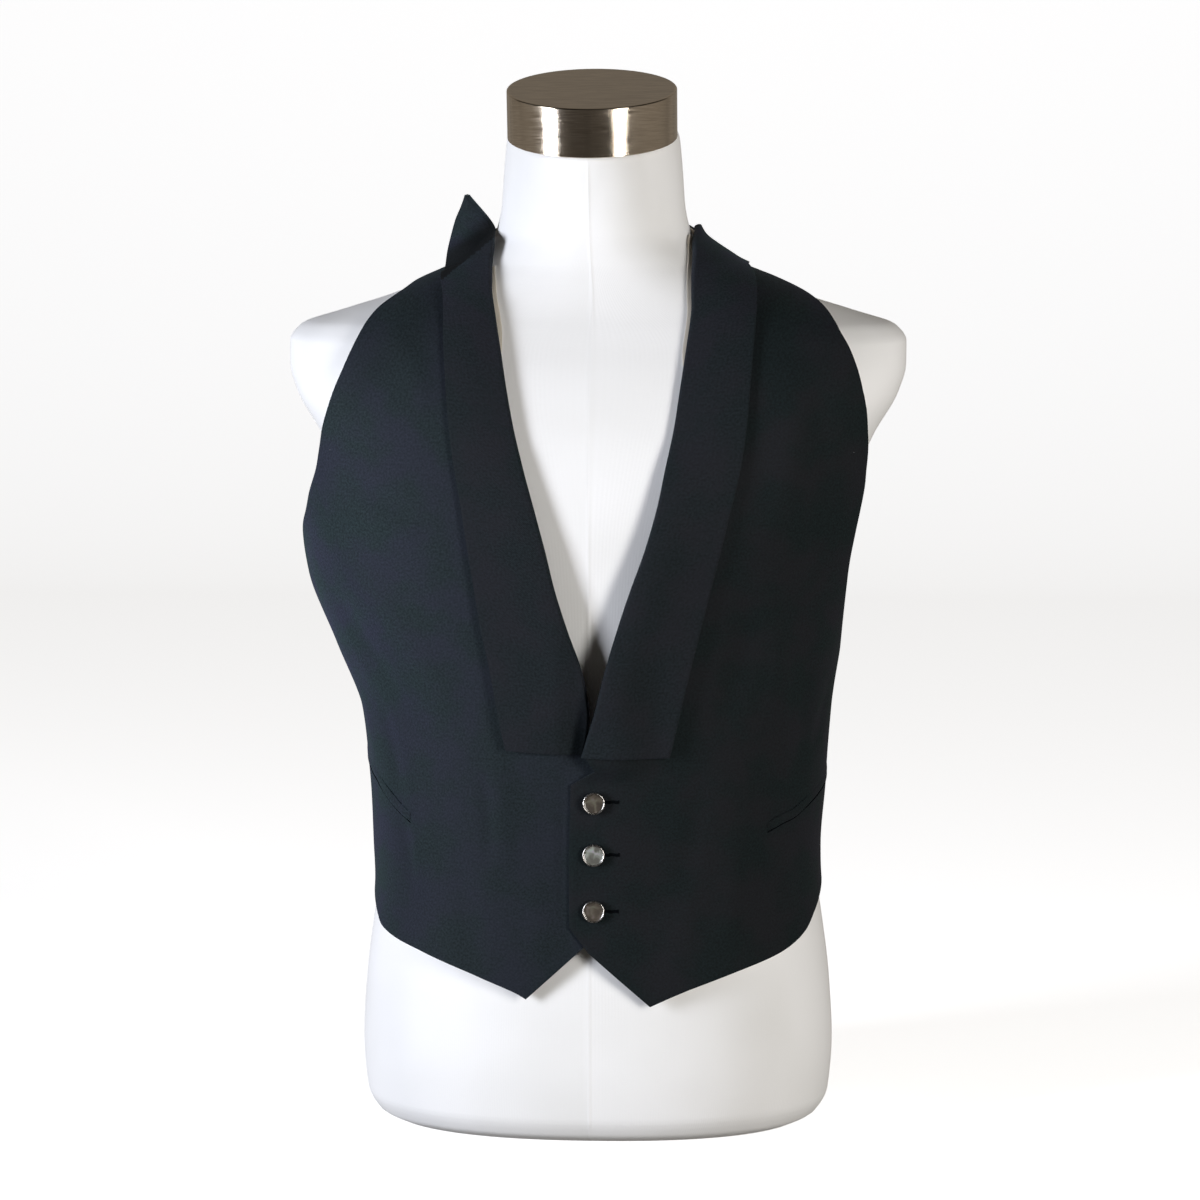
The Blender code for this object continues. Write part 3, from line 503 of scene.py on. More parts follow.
def front_edges(side):
    """The four cut edges of a front: hem, shoulder, opening and side."""
    edges = FRONT_EDGES[side]
    sign = 1 if side == "left" else -1
    heights = np.linspace(SHOULDER_TOP, SHOULDER_FOOT, SHOULDER_STEPS * FINER + 1)
    shoulder = np.array([(way_round(SHOULDER_TURN, height, sign), height) for height in heights])
    opening = [edges["lap"][-1][0][-1]]
    for row in LAPEL_ROWS[side]:
        roll, free = np.array(row[:2], float), np.array(row[2:], float)
        opening.append(tuple(roll + unit(free - roll) * ROLL_ROOM))
    opening += edges["above_lapel"]
    while opening[-1][0] > shoulder[0][0] - SHOULDER_ROOM:
        opening.pop()
    first_run = ((opening[0], opening[1]), 1)
    opening_runs = split_run((*opening[1:], tuple(shoulder[0])), OPENING_STEPS)
    armhole_runs = split_run((*edges["armhole"], tuple(shoulder[-1])), ARMHOLE_STEPS)
    return (cut_edge(edges["hem"]), shoulder, cut_edge((*edges["lap"], first_run, *opening_runs)),
            cut_edge((edges["end"], *armhole_runs)))


def patch(bottom, top, start, end):
    """Rows of places filling the shape between four cut edges."""
    u = np.linspace(0, 1, len(bottom))[None, :, None]
    v = np.linspace(0, 1, len(start))[:, None, None]
    edges = (1 - v) * bottom + v * top + (1 - u) * start[:, None] + u * end[:, None]
    corners = (1 - u) * (1 - v) * bottom[0] + u * (1 - v) * bottom[-1]
    return edges - corners - (1 - u) * v * top[0] - u * v * top[-1]


# ---- colours and materials ---------------------------------------------------------------------
NOISE, CELLS = "ShaderNodeTexNoise", "ShaderNodeTexVoronoi"
MATHS, RANGE, MIX = "ShaderNodeMath", "ShaderNodeMapRange", "ShaderNodeMix"
COORDS, PARTS, BUMP = "ShaderNodeTexCoord", "ShaderNodeSeparateXYZ", "ShaderNodeBump"
EASED = {"interpolation_type": "SMOOTHSTEP"}
COLOURS = {"data_type": "RGBA"}


def linear(hex_colour):
    """An sRGB hex colour as Blender's linear one."""
    parts = [int(hex_colour[k:k + 2], 16) / 255 for k in (1, 3, 5)]
    return (*[p / 12.92 if p <= 0.04045 else ((p + 0.055) / 1.055) ** 2.4 for p in parts], 1.0)


def per_metre(size):
    """The scale of a pattern whose parts are this size in mm."""
    return 1.0 / (size * MM)


def set_inputs(tree, node, inputs):
    """Gives inputs their values, or links to a socket or to the first shown output of a node."""
    for name, value in inputs.items() if isinstance(inputs, dict) else enumerate(inputs):
        socket = node.inputs[name]
        if isinstance(value, bpy.types.Node):
            value = next(output for output in value.outputs if output.enabled)
        if isinstance(value, bpy.types.NodeSocket):
            tree.links.new(value, socket)
        elif isinstance(value, str) and value.startswith("#"):
            socket.default_value = linear(value)
        else:
            socket.default_value = value


def add_node(tree, kind, inputs=(), **settings):
    """One node with its settings, and its inputs by name or number, or in order."""
    node = tree.nodes.new(kind)
    for name, value in settings.items():
        setattr(node, name, value)
    set_inputs(tree, node, inputs)
    return node


def new_material(name):
    """A material with its tree and its shader."""
    material = bpy.data.materials.new(name)
    material.use_nodes = True
    return material, material.node_tree, material.node_tree.nodes["Principled BSDF"]


def lay_chart(tree, *pitches):
    """The piece's own UV map, whose unit is a metre, and threads across and up it, in mm."""
    chart = add_node(tree, "ShaderNodeUVMap", uv_map="cloth")
    parts = add_node(tree, PARTS, (chart,))
    threads = []
    for output, pitch in zip(parts.outputs, pitches):
        turns = add_node(tree, MATHS, (output, 2 * math.pi * per_metre(pitch)),
                         operation="MULTIPLY")
        threads.append(add_node(tree, MATHS, (turns,), operation="SINE"))
    return chart, threads


def add_lint(tree, chart, colour, lint, apart, radius, bare, strength):
    """Specks of lint, one in each cell this far apart in mm but for the bare share of them."""
    cells = add_node(tree, CELLS, {"Vector": chart, "Scale": per_metre(apart)})
    near = add_node(tree, MATHS, (cells, radius / apart), operation="LESS_THAN")
    pick = add_node(tree, "ShaderNodeSeparateColor", (cells.outputs["Color"],))
    kept = add_node(tree, MATHS, (pick, bare), operation="GREATER_THAN")
    speck = add_node(tree, MATHS, (near, kept), operation="MULTIPLY")
    share = add_node(tree, MATHS, (speck, strength), operation="MULTIPLY")
    return add_node(tree, MIX, {0: share, 6: colour, 7: lint}, **COLOURS)


# between which heights on a front's chart, in metres, its sheen is painted darker, as painted
# shade towards the shoulder and towards the hem, and its share at each of them
SHOULDER_SHADE = (0.50, 0.60, 1.0, 0.15)
HEM_SHADE = (0.15, 0.36, 0.77, 1.0)


def make_worsted(name, ground, raised, clouded, sheen, edge_shade=None):
    """Black fine worsted, plain woven and ironed: matt, with a faint blue cast where light grazes.

    Its threads are 0.5 mm apart, drawn at 1.1 mm so that they still show, and uneven every 1.6 mm
    in the yarn: ground is the colour between them and raised the one on top. In soft patches of
    about 40 mm it turns to the clouded colour, and its nap from greenish to violet. Edge shade is
    painted shade on the sheen: where it begins to lift and is full, across the front from its lap,
    and the share of the sheen that is left at the lap. With it the sheen is painted darker towards
    the shoulder and towards the hem as well.
    """
    material, tree, shader = new_material(name)
    chart, threads = lay_chart(tree, 1.1, 1.1)
    weave = add_node(tree, MATHS, threads, operation="MULTIPLY")
    low_weave = add_node(tree, MATHS, (weave, 0.35), operation="MULTIPLY")
    yarn = add_node(tree, NOISE, {"Vector": chart, "Scale": per_metre(1.6129), "Detail": 3.0})
    height = add_node(tree, MATHS, (yarn, 1.6, low_weave), operation="MULTIPLY_ADD")
    clouds = add_node(tree, NOISE, {"Vector": chart, "Scale": per_metre(38.46), "Detail": 5.0})
    cloudy = add_node(tree, RANGE, (clouds, 0.36, 0.64), **EASED)
    tone = add_node(tree, RANGE, (height, 0.5, 1.1), **EASED)
    colour = add_node(tree, MIX, {0: tone, 6: ground, 7: raised}, **COLOURS)
    tinge = add_node(tree, MATHS, (cloudy, 0.4), operation="MULTIPLY")
    colour = add_node(tree, MIX, {0: tinge, 6: colour, 7: clouded}, **COLOURS)
    colour = add_lint(tree, chart, colour, "#8d9194", apart=29.41, radius=0.4706, bare=0.5,
                      strength=0.6)
    nap = add_node(tree, MIX, {0: cloudy, 6: "#85adb2", 7: "#939ac8"}, **COLOURS)
    hollow = add_node(tree, RANGE, (height, 0.5, 1.1, 0.55, 0.0), **EASED)
    nap = add_node(tree, MIX, {0: hollow, 6: nap, 7: "#1c232b"}, **COLOURS)
    bump = add_node(tree, BUMP, {"Height": height, "Strength": 0.45, "Distance": 0.25 * MM})
    set_inputs(tree, shader, {
        "Base Color": colour, "Roughness": 0.82, "Normal": bump, "Specular IOR Level": 0.25,
        "Specular Tint": "#dfeef3", "Sheen Weight": sheen, "Sheen Roughness": 0.6,
        "Sheen Tint": nap})
    # painted shade: the sheen fades towards the lap, the shoulder and the hem
    if edge_shade:
        begin, full, left_over = edge_shade
        across, up = add_node(tree, PARTS, (chart,)).outputs[:2]
        from_edge = add_node(tree, RANGE, (across, begin, full, sheen * left_over, sheen), **EASED)
        to_shoulder = add_node(tree, RANGE, (up, *SHOULDER_SHADE), **EASED)
        from_hem = add_node(tree, RANGE, (up, *HEM_SHADE), **EASED)
        height_shade = add_node(tree, MATHS, (from_hem, to_shoulder), operation="MULTIPLY")
        painted_sheen = add_node(tree, MATHS, (from_edge, height_shade), operation="MULTIPLY")
        set_inputs(tree, shader, {"Sheen Weight": painted_sheen})
    return material


def make_satin_lining():
    """Cream acetate satin lining: smooth, with a soft gloss along its threads.

    Its threads are 0.1 mm apart, drawn at 0.9 mm so that they still show, with 25 mm clouds.
    """
    material, tree, shader = new_material("cream_acetate_satin")
    chart, threads = lay_chart(tree, 0.9, 0.9)
    weave = add_node(tree, MATHS, threads, operation="MULTIPLY")
    clouds = add_node(tree, NOISE, {"Vector": chart, "Scale": per_metre(25), "Detail": 3.0})
    colour = add_node(tree, MIX, {0: clouds, 6: "#ccc3b3", 7: "#dfd8cb"}, **COLOURS)
    bump = add_node(tree, BUMP, {"Height": weave, "Strength": 0.2, "Distance": 0.1 * MM})
    set_inputs(tree, shader, {"Base Color": colour, "Roughness": 0.45, "Normal": bump,
                              "Sheen Weight": 0.2})
    return material


def make_jersey():
    """White cotton jersey stretched over the form: matt, with fine upright ribs and some fluff.

    Its ribs are 0.7 mm apart, drawn at 1.6 mm so that they still show, its fluff 2.4 mm long.
    Slow clouds of 110 mm are where it is stretched more.
    """
    material, tree, shader = new_material("white_cotton_jersey")
    chart, ribs = lay_chart(tree, 1.6)
    fluff = add_node(tree, NOISE, {"Vector": chart, "Scale": per_metre(2.381), "Detail": 3.0})
    height = add_node(tree, MATHS, (ribs[0], 0.25, fluff), operation="MULTIPLY_ADD")
    clouds = add_node(tree, NOISE, {"Vector": chart, "Scale": per_metre(111.11), "Detail": 2.0})
    tone = add_node(tree, RANGE, (clouds, 0.3, 0.75), **EASED)
    colour = add_node(tree, MIX, {0: tone, 6: "#eeeeee", 7: "#e7e7e6"}, **COLOURS)
    colour = add_lint(tree, chart, colour, "#8f8b88", apart=62.5, radius=0.75, bare=0.7,
                      strength=0.5)
    bump = add_node(tree, BUMP, {"Height": height, "Strength": 0.3, "Distance": 0.2 * MM})
    set_inputs(tree, shader, {"Base Color": colour, "Roughness": 0.9, "Normal": bump,
                              "Specular IOR Level": 0.25, "Sheen Weight": 0.15})
    return material


def make_nickel(name, base, worn, roughness, grain_size, depth):
    """Brushed nickel: a warm grey metal with fine scratches that draw out its reflections.

    The grain size is that of the scratches in mm, along x, y and z: long ones on a turned side.
    """
    material, tree, shader = new_material(name)
    grained = add_node(tree, "ShaderNodeMapping", {
        "Vector": add_node(tree, COORDS).outputs["Object"],
        "Scale": [per_metre(size) for size in grain_size]})
    grain = add_node(tree, NOISE, {"Vector": grained, "Scale": 1.0, "Detail": 4.0})
    rough = add_node(tree, RANGE, (grain, 0.3, 0.7, roughness - 0.05, roughness + 0.08), **EASED)
    tone = add_node(tree, RANGE, (grain, 0.3, 0.7), **EASED)
    colour = add_node(tree, MIX, {0: tone, 6: base, 7: worn}, **COLOURS)
    bump = add_node(tree, BUMP, {"Height": grain, "Strength": depth, "Distance": 0.1 * MM})
    set_inputs(tree, shader, {"Base Color": colour, "Metallic": 1.0, "Roughness": rough,
                              "Normal": bump})
    return material


def make_pearl(name, dark, pale, gleam):
    """Smoky mother-of-pearl, polished: grey-brown, with faint green and rose under a gloss.

    Its clouds are 6 mm across, and the green and rose lights in them 6.7 mm.
    """
    material, tree, shader = new_material(name)
    places = add_node(tree, COORDS).outputs["Object"]
    cloud = add_node(tree, NOISE, {"Vector": places, "Scale": per_metre(5.882), "Detail": 2.0,
                                   "Distortion": 0.6})
    tint = add_node(tree, NOISE, {"Vector": places, "Scale": per_metre(6.667), "Detail": 2.0})
    tone = add_node(tree, RANGE, (cloud, 0.35, 0.65), **EASED)
    ground = add_node(tree, MIX, {0: tone, 6: dark, 7: pale}, **COLOURS)
    turn = add_node(tree, RANGE, (tint, 0.4, 0.6), **EASED)
    lights = add_node(tree, MIX, {0: turn, 6: "#9fc3a4", 7: "#a493ad"}, **COLOURS)
    lit = add_node(tree, RANGE, (cloud, 0.5, 0.7, 0.0, gleam), **EASED)
    colour = add_node(tree, MIX, {0: lit, 6: ground, 7: lights}, **COLOURS)
    set_inputs(tree, shader, {"Base Color": colour, "Roughness": 0.3, "Metallic": 0.2,
                              "Coat Weight": 0.8, "Coat Roughness": 0.08})
    return material


def make_thread(name, gloss):
    """Black silk thread, twisted every 0.7 mm: a little glossy, or glossless as painted shade."""
    material, tree, shader = new_material(name)
    places = add_node(tree, COORDS).outputs["Object"]
    twist = add_node(tree, NOISE, {"Vector": places, "Scale": per_metre(0.6667), "Detail": 1.0})
    colour = add_node(tree, MIX, {0: twist, 6: "#050607", 7: "#101316"}, **COLOURS)
    set_inputs(tree, shader, {"Base Color": colour, "Roughness": 0.6,
                              "Specular IOR Level": gloss})
    return material


# lit and shaded copies of one cloth: the right front's has more sheen and lighter threads as
# painted light, the left front's less sheen and darker threads as painted shade
FRONT_WORSTED = {
    "right": make_worsted("black_worsted_painted_light", "#04070a", "#161b20", "#1b1d24",
                          sheen=0.66, edge_shade=(0.02, 0.21, 0.47)),
    "left": make_worsted("black_worsted_painted_shade", "#020506", "#0e1718", "#1c1519",
                         sheen=0.07),
}
LAPEL_WORSTED = make_worsted("black_worsted_on_the_roll", "#04070a", "#161b1f", "#1c181c",
                             sheen=0.12)
# the turned-up collar end's copy of the cloth is darker, as painted shade deepest at its fold
TURNED_UP_SHEEN = 0.55
TURNED_UP_SHADED_WORSTED = make_worsted("black_worsted_turned_up_painted_shade", "#020304", "#0c0d10", "#0e0d0f",
                                 sheen=TURNED_UP_SHEEN)
LINING = make_satin_lining()
JERSEY = make_jersey()
CAP_METAL = make_nickel("brushed_nickel", "#bcb0a0", "#d2c6b5", roughness=0.13,
                        grain_size=(16.667, 16.667, 0.38462), depth=0.55)
PLATE_METAL = make_nickel("nickel_plate", "#c4c1bb", "#cecbc5", roughness=0.25,
                          grain_size=(1.1111, 1.1111, 1.1111), depth=0.12)
RIM_METAL = make_nickel("pewter_button_rim", "#a9a6a3", "#b4b1ae", roughness=0.26,
                        grain_size=(1.4286, 1.4286, 1.4286), depth=0.12)
PEARL = make_pearl("smoky_mother_of_pearl", "#453f38", "#5f574d", gleam=0.12)
PALE_PEARL = make_pearl("pale_mother_of_pearl", "#62625c", "#9ba098", gleam=0.7)
THREAD = make_thread("black_silk_thread", gloss=0.2)
# glossless thread, as painted shade for the dark of a seam and a slit
SHADE_THREAD = make_thread("black_silk_thread_painted_seam_shade", gloss=0.0)


# ---- meshes ------------------------------------------------------------------------------------
def add_piece(name, mesh, materials):
    """A mesh with its materials as an object of the scene."""
    for material in materials:
        mesh.materials.append(material)
    piece = bpy.data.objects.new(name, mesh)
    bpy.context.scene.collection.objects.link(piece)
    return piece


def settle(piece):
    """Works a piece's modifiers into its mesh."""
    shown = piece.evaluated_get(bpy.context.evaluated_depsgraph_get())
    mesh = bpy.data.meshes.new_from_object(shown)
    piece.modifiers.clear()
    old = piece.data
    piece.data = mesh
    bpy.data.meshes.remove(old)
    mesh.name = piece.name


def close_mesh(mesh, ends=(), merge=None):
    """Adds end faces by their corners, merges double places and turns every face outwards."""
    work = bmesh.new()
    work.from_mesh(mesh)
    work.verts.ensure_lookup_table()
    for end in ends:
        work.faces.new([work.verts[k] for k in end])
    if merge:
        bmesh.ops.remove_doubles(work, verts=work.verts, dist=merge * MM)
    bmesh.ops.recalc_face_normals(work, faces=work.faces)
    work.to_mesh(mesh)
    work.free()
    mesh.shade_smooth()


def net_mesh(name, net, chart, turned, closed=False):
    """A smooth sheet through a net of places, with its flat chart as the UV map cloth."""
    rows, columns = net.shape[:2]
    index = np.arange(rows * columns).reshape(rows, columns)
    if closed:
        index = np.concatenate((index, index[:, :1]), axis=1)
    faces = np.stack((index[:-1, :-1], index[:-1, 1:], index[1:, 1:], index[1:, :-1]), axis=-1)
    faces = faces.reshape(-1, 4)
    if turned:
        faces = faces[:, ::-1]
    mesh = bpy.data.meshes.new(name)
    mesh.from_pydata((net.reshape(-1, 3) * MM).tolist(), [], faces.tolist())
    layer = mesh.uv_layers.new(name="cloth")
    corners = np.empty(len(mesh.loops), int)
    mesh.loops.foreach_get("vertex_index", corners)
    layer.data.foreach_set("uv", (chart.reshape(-1, 2) * MM)[corners].astype(np.float32).ravel())
    mesh.shade_smooth()
    return mesh


def flat_chart(net):
    """The lengths of the net's rows and columns, as a flat chart."""
    along = np.linalg.norm(np.diff(net, axis=1), axis=-1)
    up = np.linalg.norm(np.diff(net, axis=0), axis=-1)
    across = np.concatenate((np.zeros((len(net), 1)), np.cumsum(along, axis=1)), axis=1)
    height = np.concatenate((np.zeros((1, net.shape[1])), np.cumsum(up, axis=0)), axis=0)
    return np.stack((across, height), axis=-1)


# edges sharper than this are rounded; a face looks inwards where the cosine of its angle to the
# way out from the body's axis is below this
CUT_EDGE_ANGLE = math.radians(50)
INWARD = -0.25


def cloth(name, net, chart, thickness, turned, material, offset=1.0, lined=None, edge=0.45):
    """A cloth wall with softly rounded cut edges; lined names the side whose front this is."""
    mesh = net_mesh(name, net, chart, turned)
    piece = add_piece(name, mesh, (material, LINING) if lined else (material,))
    wall = piece.modifiers.new("wall", "SOLIDIFY")
    wall.thickness = thickness * MM
    wall.offset = offset
    wall.use_even_offset = True
    rounding = piece.modifiers.new("edge", "BEVEL")
    rounding.width = edge * MM
    rounding.segments = 2
    rounding.limit_method = "ANGLE"
    rounding.angle_limit = CUT_EDGE_ANGLE
    settle(piece)
    if lined:
        line_inside(piece, lined)
    piece.data.shade_smooth()
    return piece


def line_inside(piece, side):
    """Gives the lining to the faces that look to the body, behind a facing along the opening."""
    mesh = piece.data
    centres = np.array([face.center[:] for face in mesh.polygons])
    normals = np.array([face.normal[:] for face in mesh.polygons])
    outward = (centres - (0.0, MIDDLE_Y * MM, 0.0)) * (1.0, 1.0, 0.0)
    inner = (unit(outward) * normals).sum(axis=1) < INWARD
    layer = mesh.uv_layers["cloth"].data
    spots = np.array([layer[face.loop_start].uv[:] for face in mesh.polygons])
    rolls = np.array(LAPEL_ROWS[side]) * MM
    roll = np.interp(spots[:, 1], rolls[:, 1], rolls[:, 0])
    lined = inner & (spots[:, 0] > roll + FACING_WIDTH * MM)
    mesh.polygons.foreach_set("material_index", lined.astype(np.int32))


def finish_cloth(piece, replaced):
    """Hangs a piece of soft cloth under the root and hides the parts it replaces."""
    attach(piece, "root")
    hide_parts(*replaced)


def finish_hard(piece, slot, *replaced):
    """Hangs a piece that keeps its shape under the root and hides any parts it replaces."""
    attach(piece, "root")
    if replaced:
        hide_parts(*replaced)


# ---- the form and its cap ----------------------------------------------------------------------
FORM_COLUMNS = 176
FORM_LEVELS = 190
# more levels where the form turns sharply: at the foot, above the shoulders and at the neck's top
FORM_CLOSE_LEVELS = (1, 2.5, 4, 9, 12, 16, 580, 583, 589, 592, 595, 709.2, 710)
# mm of the jersey's chart for each radian round the form
JERSEY_ROUND = 150
# the cover's seam: height, half width, where it begins and ends, degrees of the columns beside it
SEAM_RISE, SEAM_HALF = 0.35, 1.1
SEAM_BEGINS, SEAM_ENDS = (2, 20), (700, 708)
SEAM_TURNS = (0.15, 0.3, 0.5, 0.8, 1.3)
# edges sharper than these stay sharp
FORM_CREASE, METAL_CREASE = math.radians(55), math.radians(40)


def lean(net):
    """Tips the rings of the neck forward, more towards the top."""
    height = net[..., 2]
    share = np.maximum(0.0, (height - NECK_LEAN_FROM) / (NECK_TOP - NECK_LEAN_FROM))
    middle = MIDDLE_Y + neck_middle(height)
    net[..., 2] = height + (net[..., 1] - middle) * math.tan(NECK_LEAN) * share
    return net


def neck_middle(height):
    """How far back the middle of the neck lies behind the form's middle."""
    return 0.5 * (read_table(FORM_RINGS, height, 3) - read_table(FORM_RINGS, height, 2))


def build_form():
    """The jersey-covered form with the seam of its cover down the centre front and back."""
    keys = [row[0] for row in FORM_RINGS]
    heights = np.unique(np.concatenate((np.linspace(0, NECK_TOP, FORM_LEVELS), keys,
                                        FORM_CLOSE_LEVELS)))
    angles = np.linspace(0, 2 * math.pi, FORM_COLUMNS, endpoint=False)
    beside = [centre + sign * np.radians(SEAM_TURNS) for centre in (0, math.pi) for sign in (-1, 1)]
    angles = np.unique(np.mod(np.concatenate((angles, *beside)), 2 * math.pi).round(6))
    net = ring_place(heights[:, None], angles[None, :], False)
    shift = neck_shift(net[..., 2])
    rise = SEAM_RISE * np.exp(-((net[..., 0] - shift) / SEAM_HALF) ** 2)
    rise *= (ramp(heights, *SEAM_BEGINS) * (1 - ramp(heights, *SEAM_ENDS)))[:, None]
    outward = net - np.stack((shift, np.full(shift.shape, MIDDLE_Y), net[..., 2]), axis=-1)
    net = lean(net + unit(outward) * rise[..., None])
    chart = np.stack(np.broadcast_arrays(angles * JERSEY_ROUND, heights[:, None]), axis=-1)
    mesh = net_mesh("form_jersey", net, chart, False, closed=True)
    foot = range(len(angles))
    close_mesh(mesh, (foot[::-1], [(len(heights) - 1) * len(angles) + k for k in foot]))
    mesh.set_sharp_from_angle(angle=FORM_CREASE)
    finish_hard(add_piece("form_jersey", mesh, (JERSEY,)), "white_jersey", "dress_form")


# distances in mm at which double places of a turned or drawn piece are merged
TURNED_MERGE, MERGE = 0.01, 0.005


def turned_piece(name, profile, place, materials, steps):
    """A solid turned round its axis, then set in place by a matrix; profile in mm from the top."""
    mesh = bpy.data.meshes.new(name)
    edges = [(k, k + 1) for k in range(len(profile) - 1)]
    mesh.from_pydata([(radius * MM, 0.0, height * MM) for radius, height in profile], edges, [])
    piece = add_piece(name, mesh, materials)
    screw = piece.modifiers.new("turn", "SCREW")
    screw.steps = steps
    screw.render_steps = steps
    screw.use_merge_vertices = True
    screw.merge_threshold = TURNED_MERGE * MM
    settle(piece)
    close_mesh(piece.data, merge=MERGE)
    piece.data.transform(place)
    return piece


def build_cap():
    """The brushed cap on the neck: a shallow turned tin with a rounded rim."""
    side, top = CAP_RADIUS, CAP_HEIGHT
    rim = [(side - CAP_EDGE * (1 - math.cos(turn)), top - CAP_EDGE * (1 - math.sin(turn)))
           for turn in np.linspace(math.pi / 2, 0, 7)]
    profile = ((0, top), (side * 0.5, top), (side - 2 * CAP_EDGE, top), *rim, (side, top * 0.5),
               (side, 0.8), (side, 0.4), (side - 0.4, 0), (side - 1.5, 0), (0, 0))
    up = Vector((0.0, -math.sin(NECK_LEAN), math.cos(NECK_LEAN)))
    base = Vector((NECK_SIDE_SHIFT, MIDDLE_Y + float(neck_middle(NECK_TOP)), NECK_TOP)) + up * GAP
    place = Matrix.Translation(base * MM) @ Matrix.Rotation(NECK_LEAN, 4, "X")
    piece = turned_piece("neck_cap_turned", profile, place, (CAP_METAL,), steps=160)
    piece.data.set_sharp_from_angle(angle=METAL_CREASE)
    finish_hard(piece, "brushed_nickel", "neck_cap")


# ---- the cloth ---------------------------------------------------------------------------------
def build_front(side):
    """A front, cut out of the cloth surface by its four edges."""
    net = patch(*front_edges(side))
    places = on_cloth(side, net[..., 0], net[..., 1], 0.0)
    piece = cloth(f"waistcoat_front_{side}", places, net, CLOTH, side == "right",
                  FRONT_WORSTED[side], lined=side)
    finish_cloth(piece, (f"front_{side}",))


# steps of the net for each row of a lapel, each point of its roll, and across the rest of it
LAPEL_FINE = 6
SECTION_FINE = 4
LAPEL_ACROSS = 26
# steps of the other nets: along a welt and its seam, across it and an edge lining, round and up
# the neck band, and across the strap
WELT_STEPS, SEAM_STEPS, NARROW_STEPS = 90, 120, 8
BAND_STEPS, BAND_LEVELS, STRAP_LEVELS = 160, 18, 12
# steps along each part of the strap: at the slide, between it and the end, and at the end
LEFT_STRAP_STEPS, RIGHT_STRAP_STEPS, STRAP_END_FINE = (120, 40), (136, 12), 5


def lapel_section(width, edge_lift, roll=1.0):
    """Out from the roll and off the surface, for the whole width of a lapel."""
    middle = 0.5 * CLOTH
    section = smooth(ROLL_SECTION, SECTION_FINE)
    section = np.stack((section[:, 0] * roll, middle + (section[:, 1] - middle) * roll), axis=1)
    first, level = section[-1]
    share = np.arange(1, LAPEL_ACROSS + 1) / LAPEL_ACROSS
    off = level + (LAPEL_BULGE * np.sin(math.pi * share) + edge_lift * share) * roll
    return np.concatenate((section, np.stack((first + (width - first) * share, off), axis=1)))


def lapel_row(side, row):
    """Places across a lapel at one of its rows."""
    roll, free = np.array(row[:2], float), np.array(row[2:], float)
    way = unit(free - roll)
    edge_lift = np.interp(roll[1], *np.transpose(LAPEL_EDGE_LIFTS[side]))
    section = lapel_section(np.linalg.norm(free - roll), edge_lift)
    places = roll + way * (section[:, :1] + 0.5 * LAPEL_CLOTH)
    return on_cloth(side, places[:, 0], places[:, 1], section[:, 1])


def collar_row(inner, outer):
    """A level of the standing collar end between its edges; its roll gets smaller upwards."""
    inner, outer = np.array((inner, outer)) + (0.0, MIDDLE_Y, 0.0)
    way = unit(outer - inner)
    off_way = unit(np.cross((0.0, 0.0, 1.0), way))
    width = np.linalg.norm(outer - inner)
    roll = min(1.0, max(COLLAR_LEAST_ROLL, width / COLLAR_FULL_WIDTH))
    section = lapel_section(width, LAPEL_EDGE_LIFTS["right"][-1][1], roll)
    return inner + way * section[:, :1] + off_way * (section[:, 1:] - 0.5 * CLOTH)


def fold_back(net):
    """Sets the standing collar end back above its slanting fold, most of all beside the neck."""
    x, height = net[..., 0], net[..., 2]
    above = height - FOLD_RISE * x - FOLD_FOOT
    share = np.clip((x - FOLD_OUTER_END) / FOLD_WIDTH, 0, 1) ** 1.5
    net[..., 1] += FOLD_BACK * share * ramp(above, *FOLD_TURNS)
    return net


def paint_fold_shade(material, sheen):
    """Painted shade: no sheen just above the slanting fold, so that the cloth is darkest there."""
    tree = material.node_tree
    parts = add_node(tree, PARTS, (add_node(tree, COORDS).outputs["Object"],))
    above = add_node(tree, MATHS, (parts.outputs[0], -FOLD_RISE, parts.outputs[2]),
                     operation="MULTIPLY_ADD")
    low, high = [(FOLD_FOOT + rise) * MM for rise in FOLD_SHADE_FADES]
    nap = add_node(tree, RANGE, (above, low, high, 0.0, sheen), **EASED)
    set_inputs(tree, tree.nodes["Principled BSDF"], {"Sheen Weight": nap})


def build_lapel(side):
    """A lapel rolled out over its front; the right one ends in a turned-up collar end."""
    rows = np.array([lapel_row(side, row) for row in smooth(LAPEL_ROWS[side], LAPEL_FINE)])
    if side == "right":
        upper = np.array([rows[-1 - LAPEL_FINE], rows[-1]]
                         + [collar_row(inner, outer) for inner, outer in COLLAR_POINT])
        standing = smooth(upper.reshape(len(upper), -1), LAPEL_FINE)[LAPEL_FINE + 1:]
        rows = fold_back(np.concatenate((rows, standing.reshape(len(standing), -1, 3))))
    piece = cloth(f"shawl_lapel_{side}", rows, flat_chart(rows), LAPEL_CLOTH, side == "right",
                  LAPEL_WORSTED, offset=0.0, edge=0.35)
    if side == "right":
        # the collar end above its fold takes the darker copy, painted shade deepest at the fold
        paint_fold_shade(TURNED_UP_SHADED_WORSTED, TURNED_UP_SHEEN)
        piece.data.materials.append(TURNED_UP_SHADED_WORSTED)
        for face in piece.data.polygons:
            if face.center.z - FOLD_RISE * face.center.x > FOLD_FOOT * MM:
                face.material_index = 1
    finish_cloth(piece, (f"lapel_{side}",))


def welt_line(side, steps):
    """The lower edge of a welt, with the way up across it."""
    lower = walk(WELT_LINES[side], steps)
    run = unit(np.gradient(lower, axis=0))
    return lower, np.stack((-run[:, 1], run[:, 0]), axis=1)


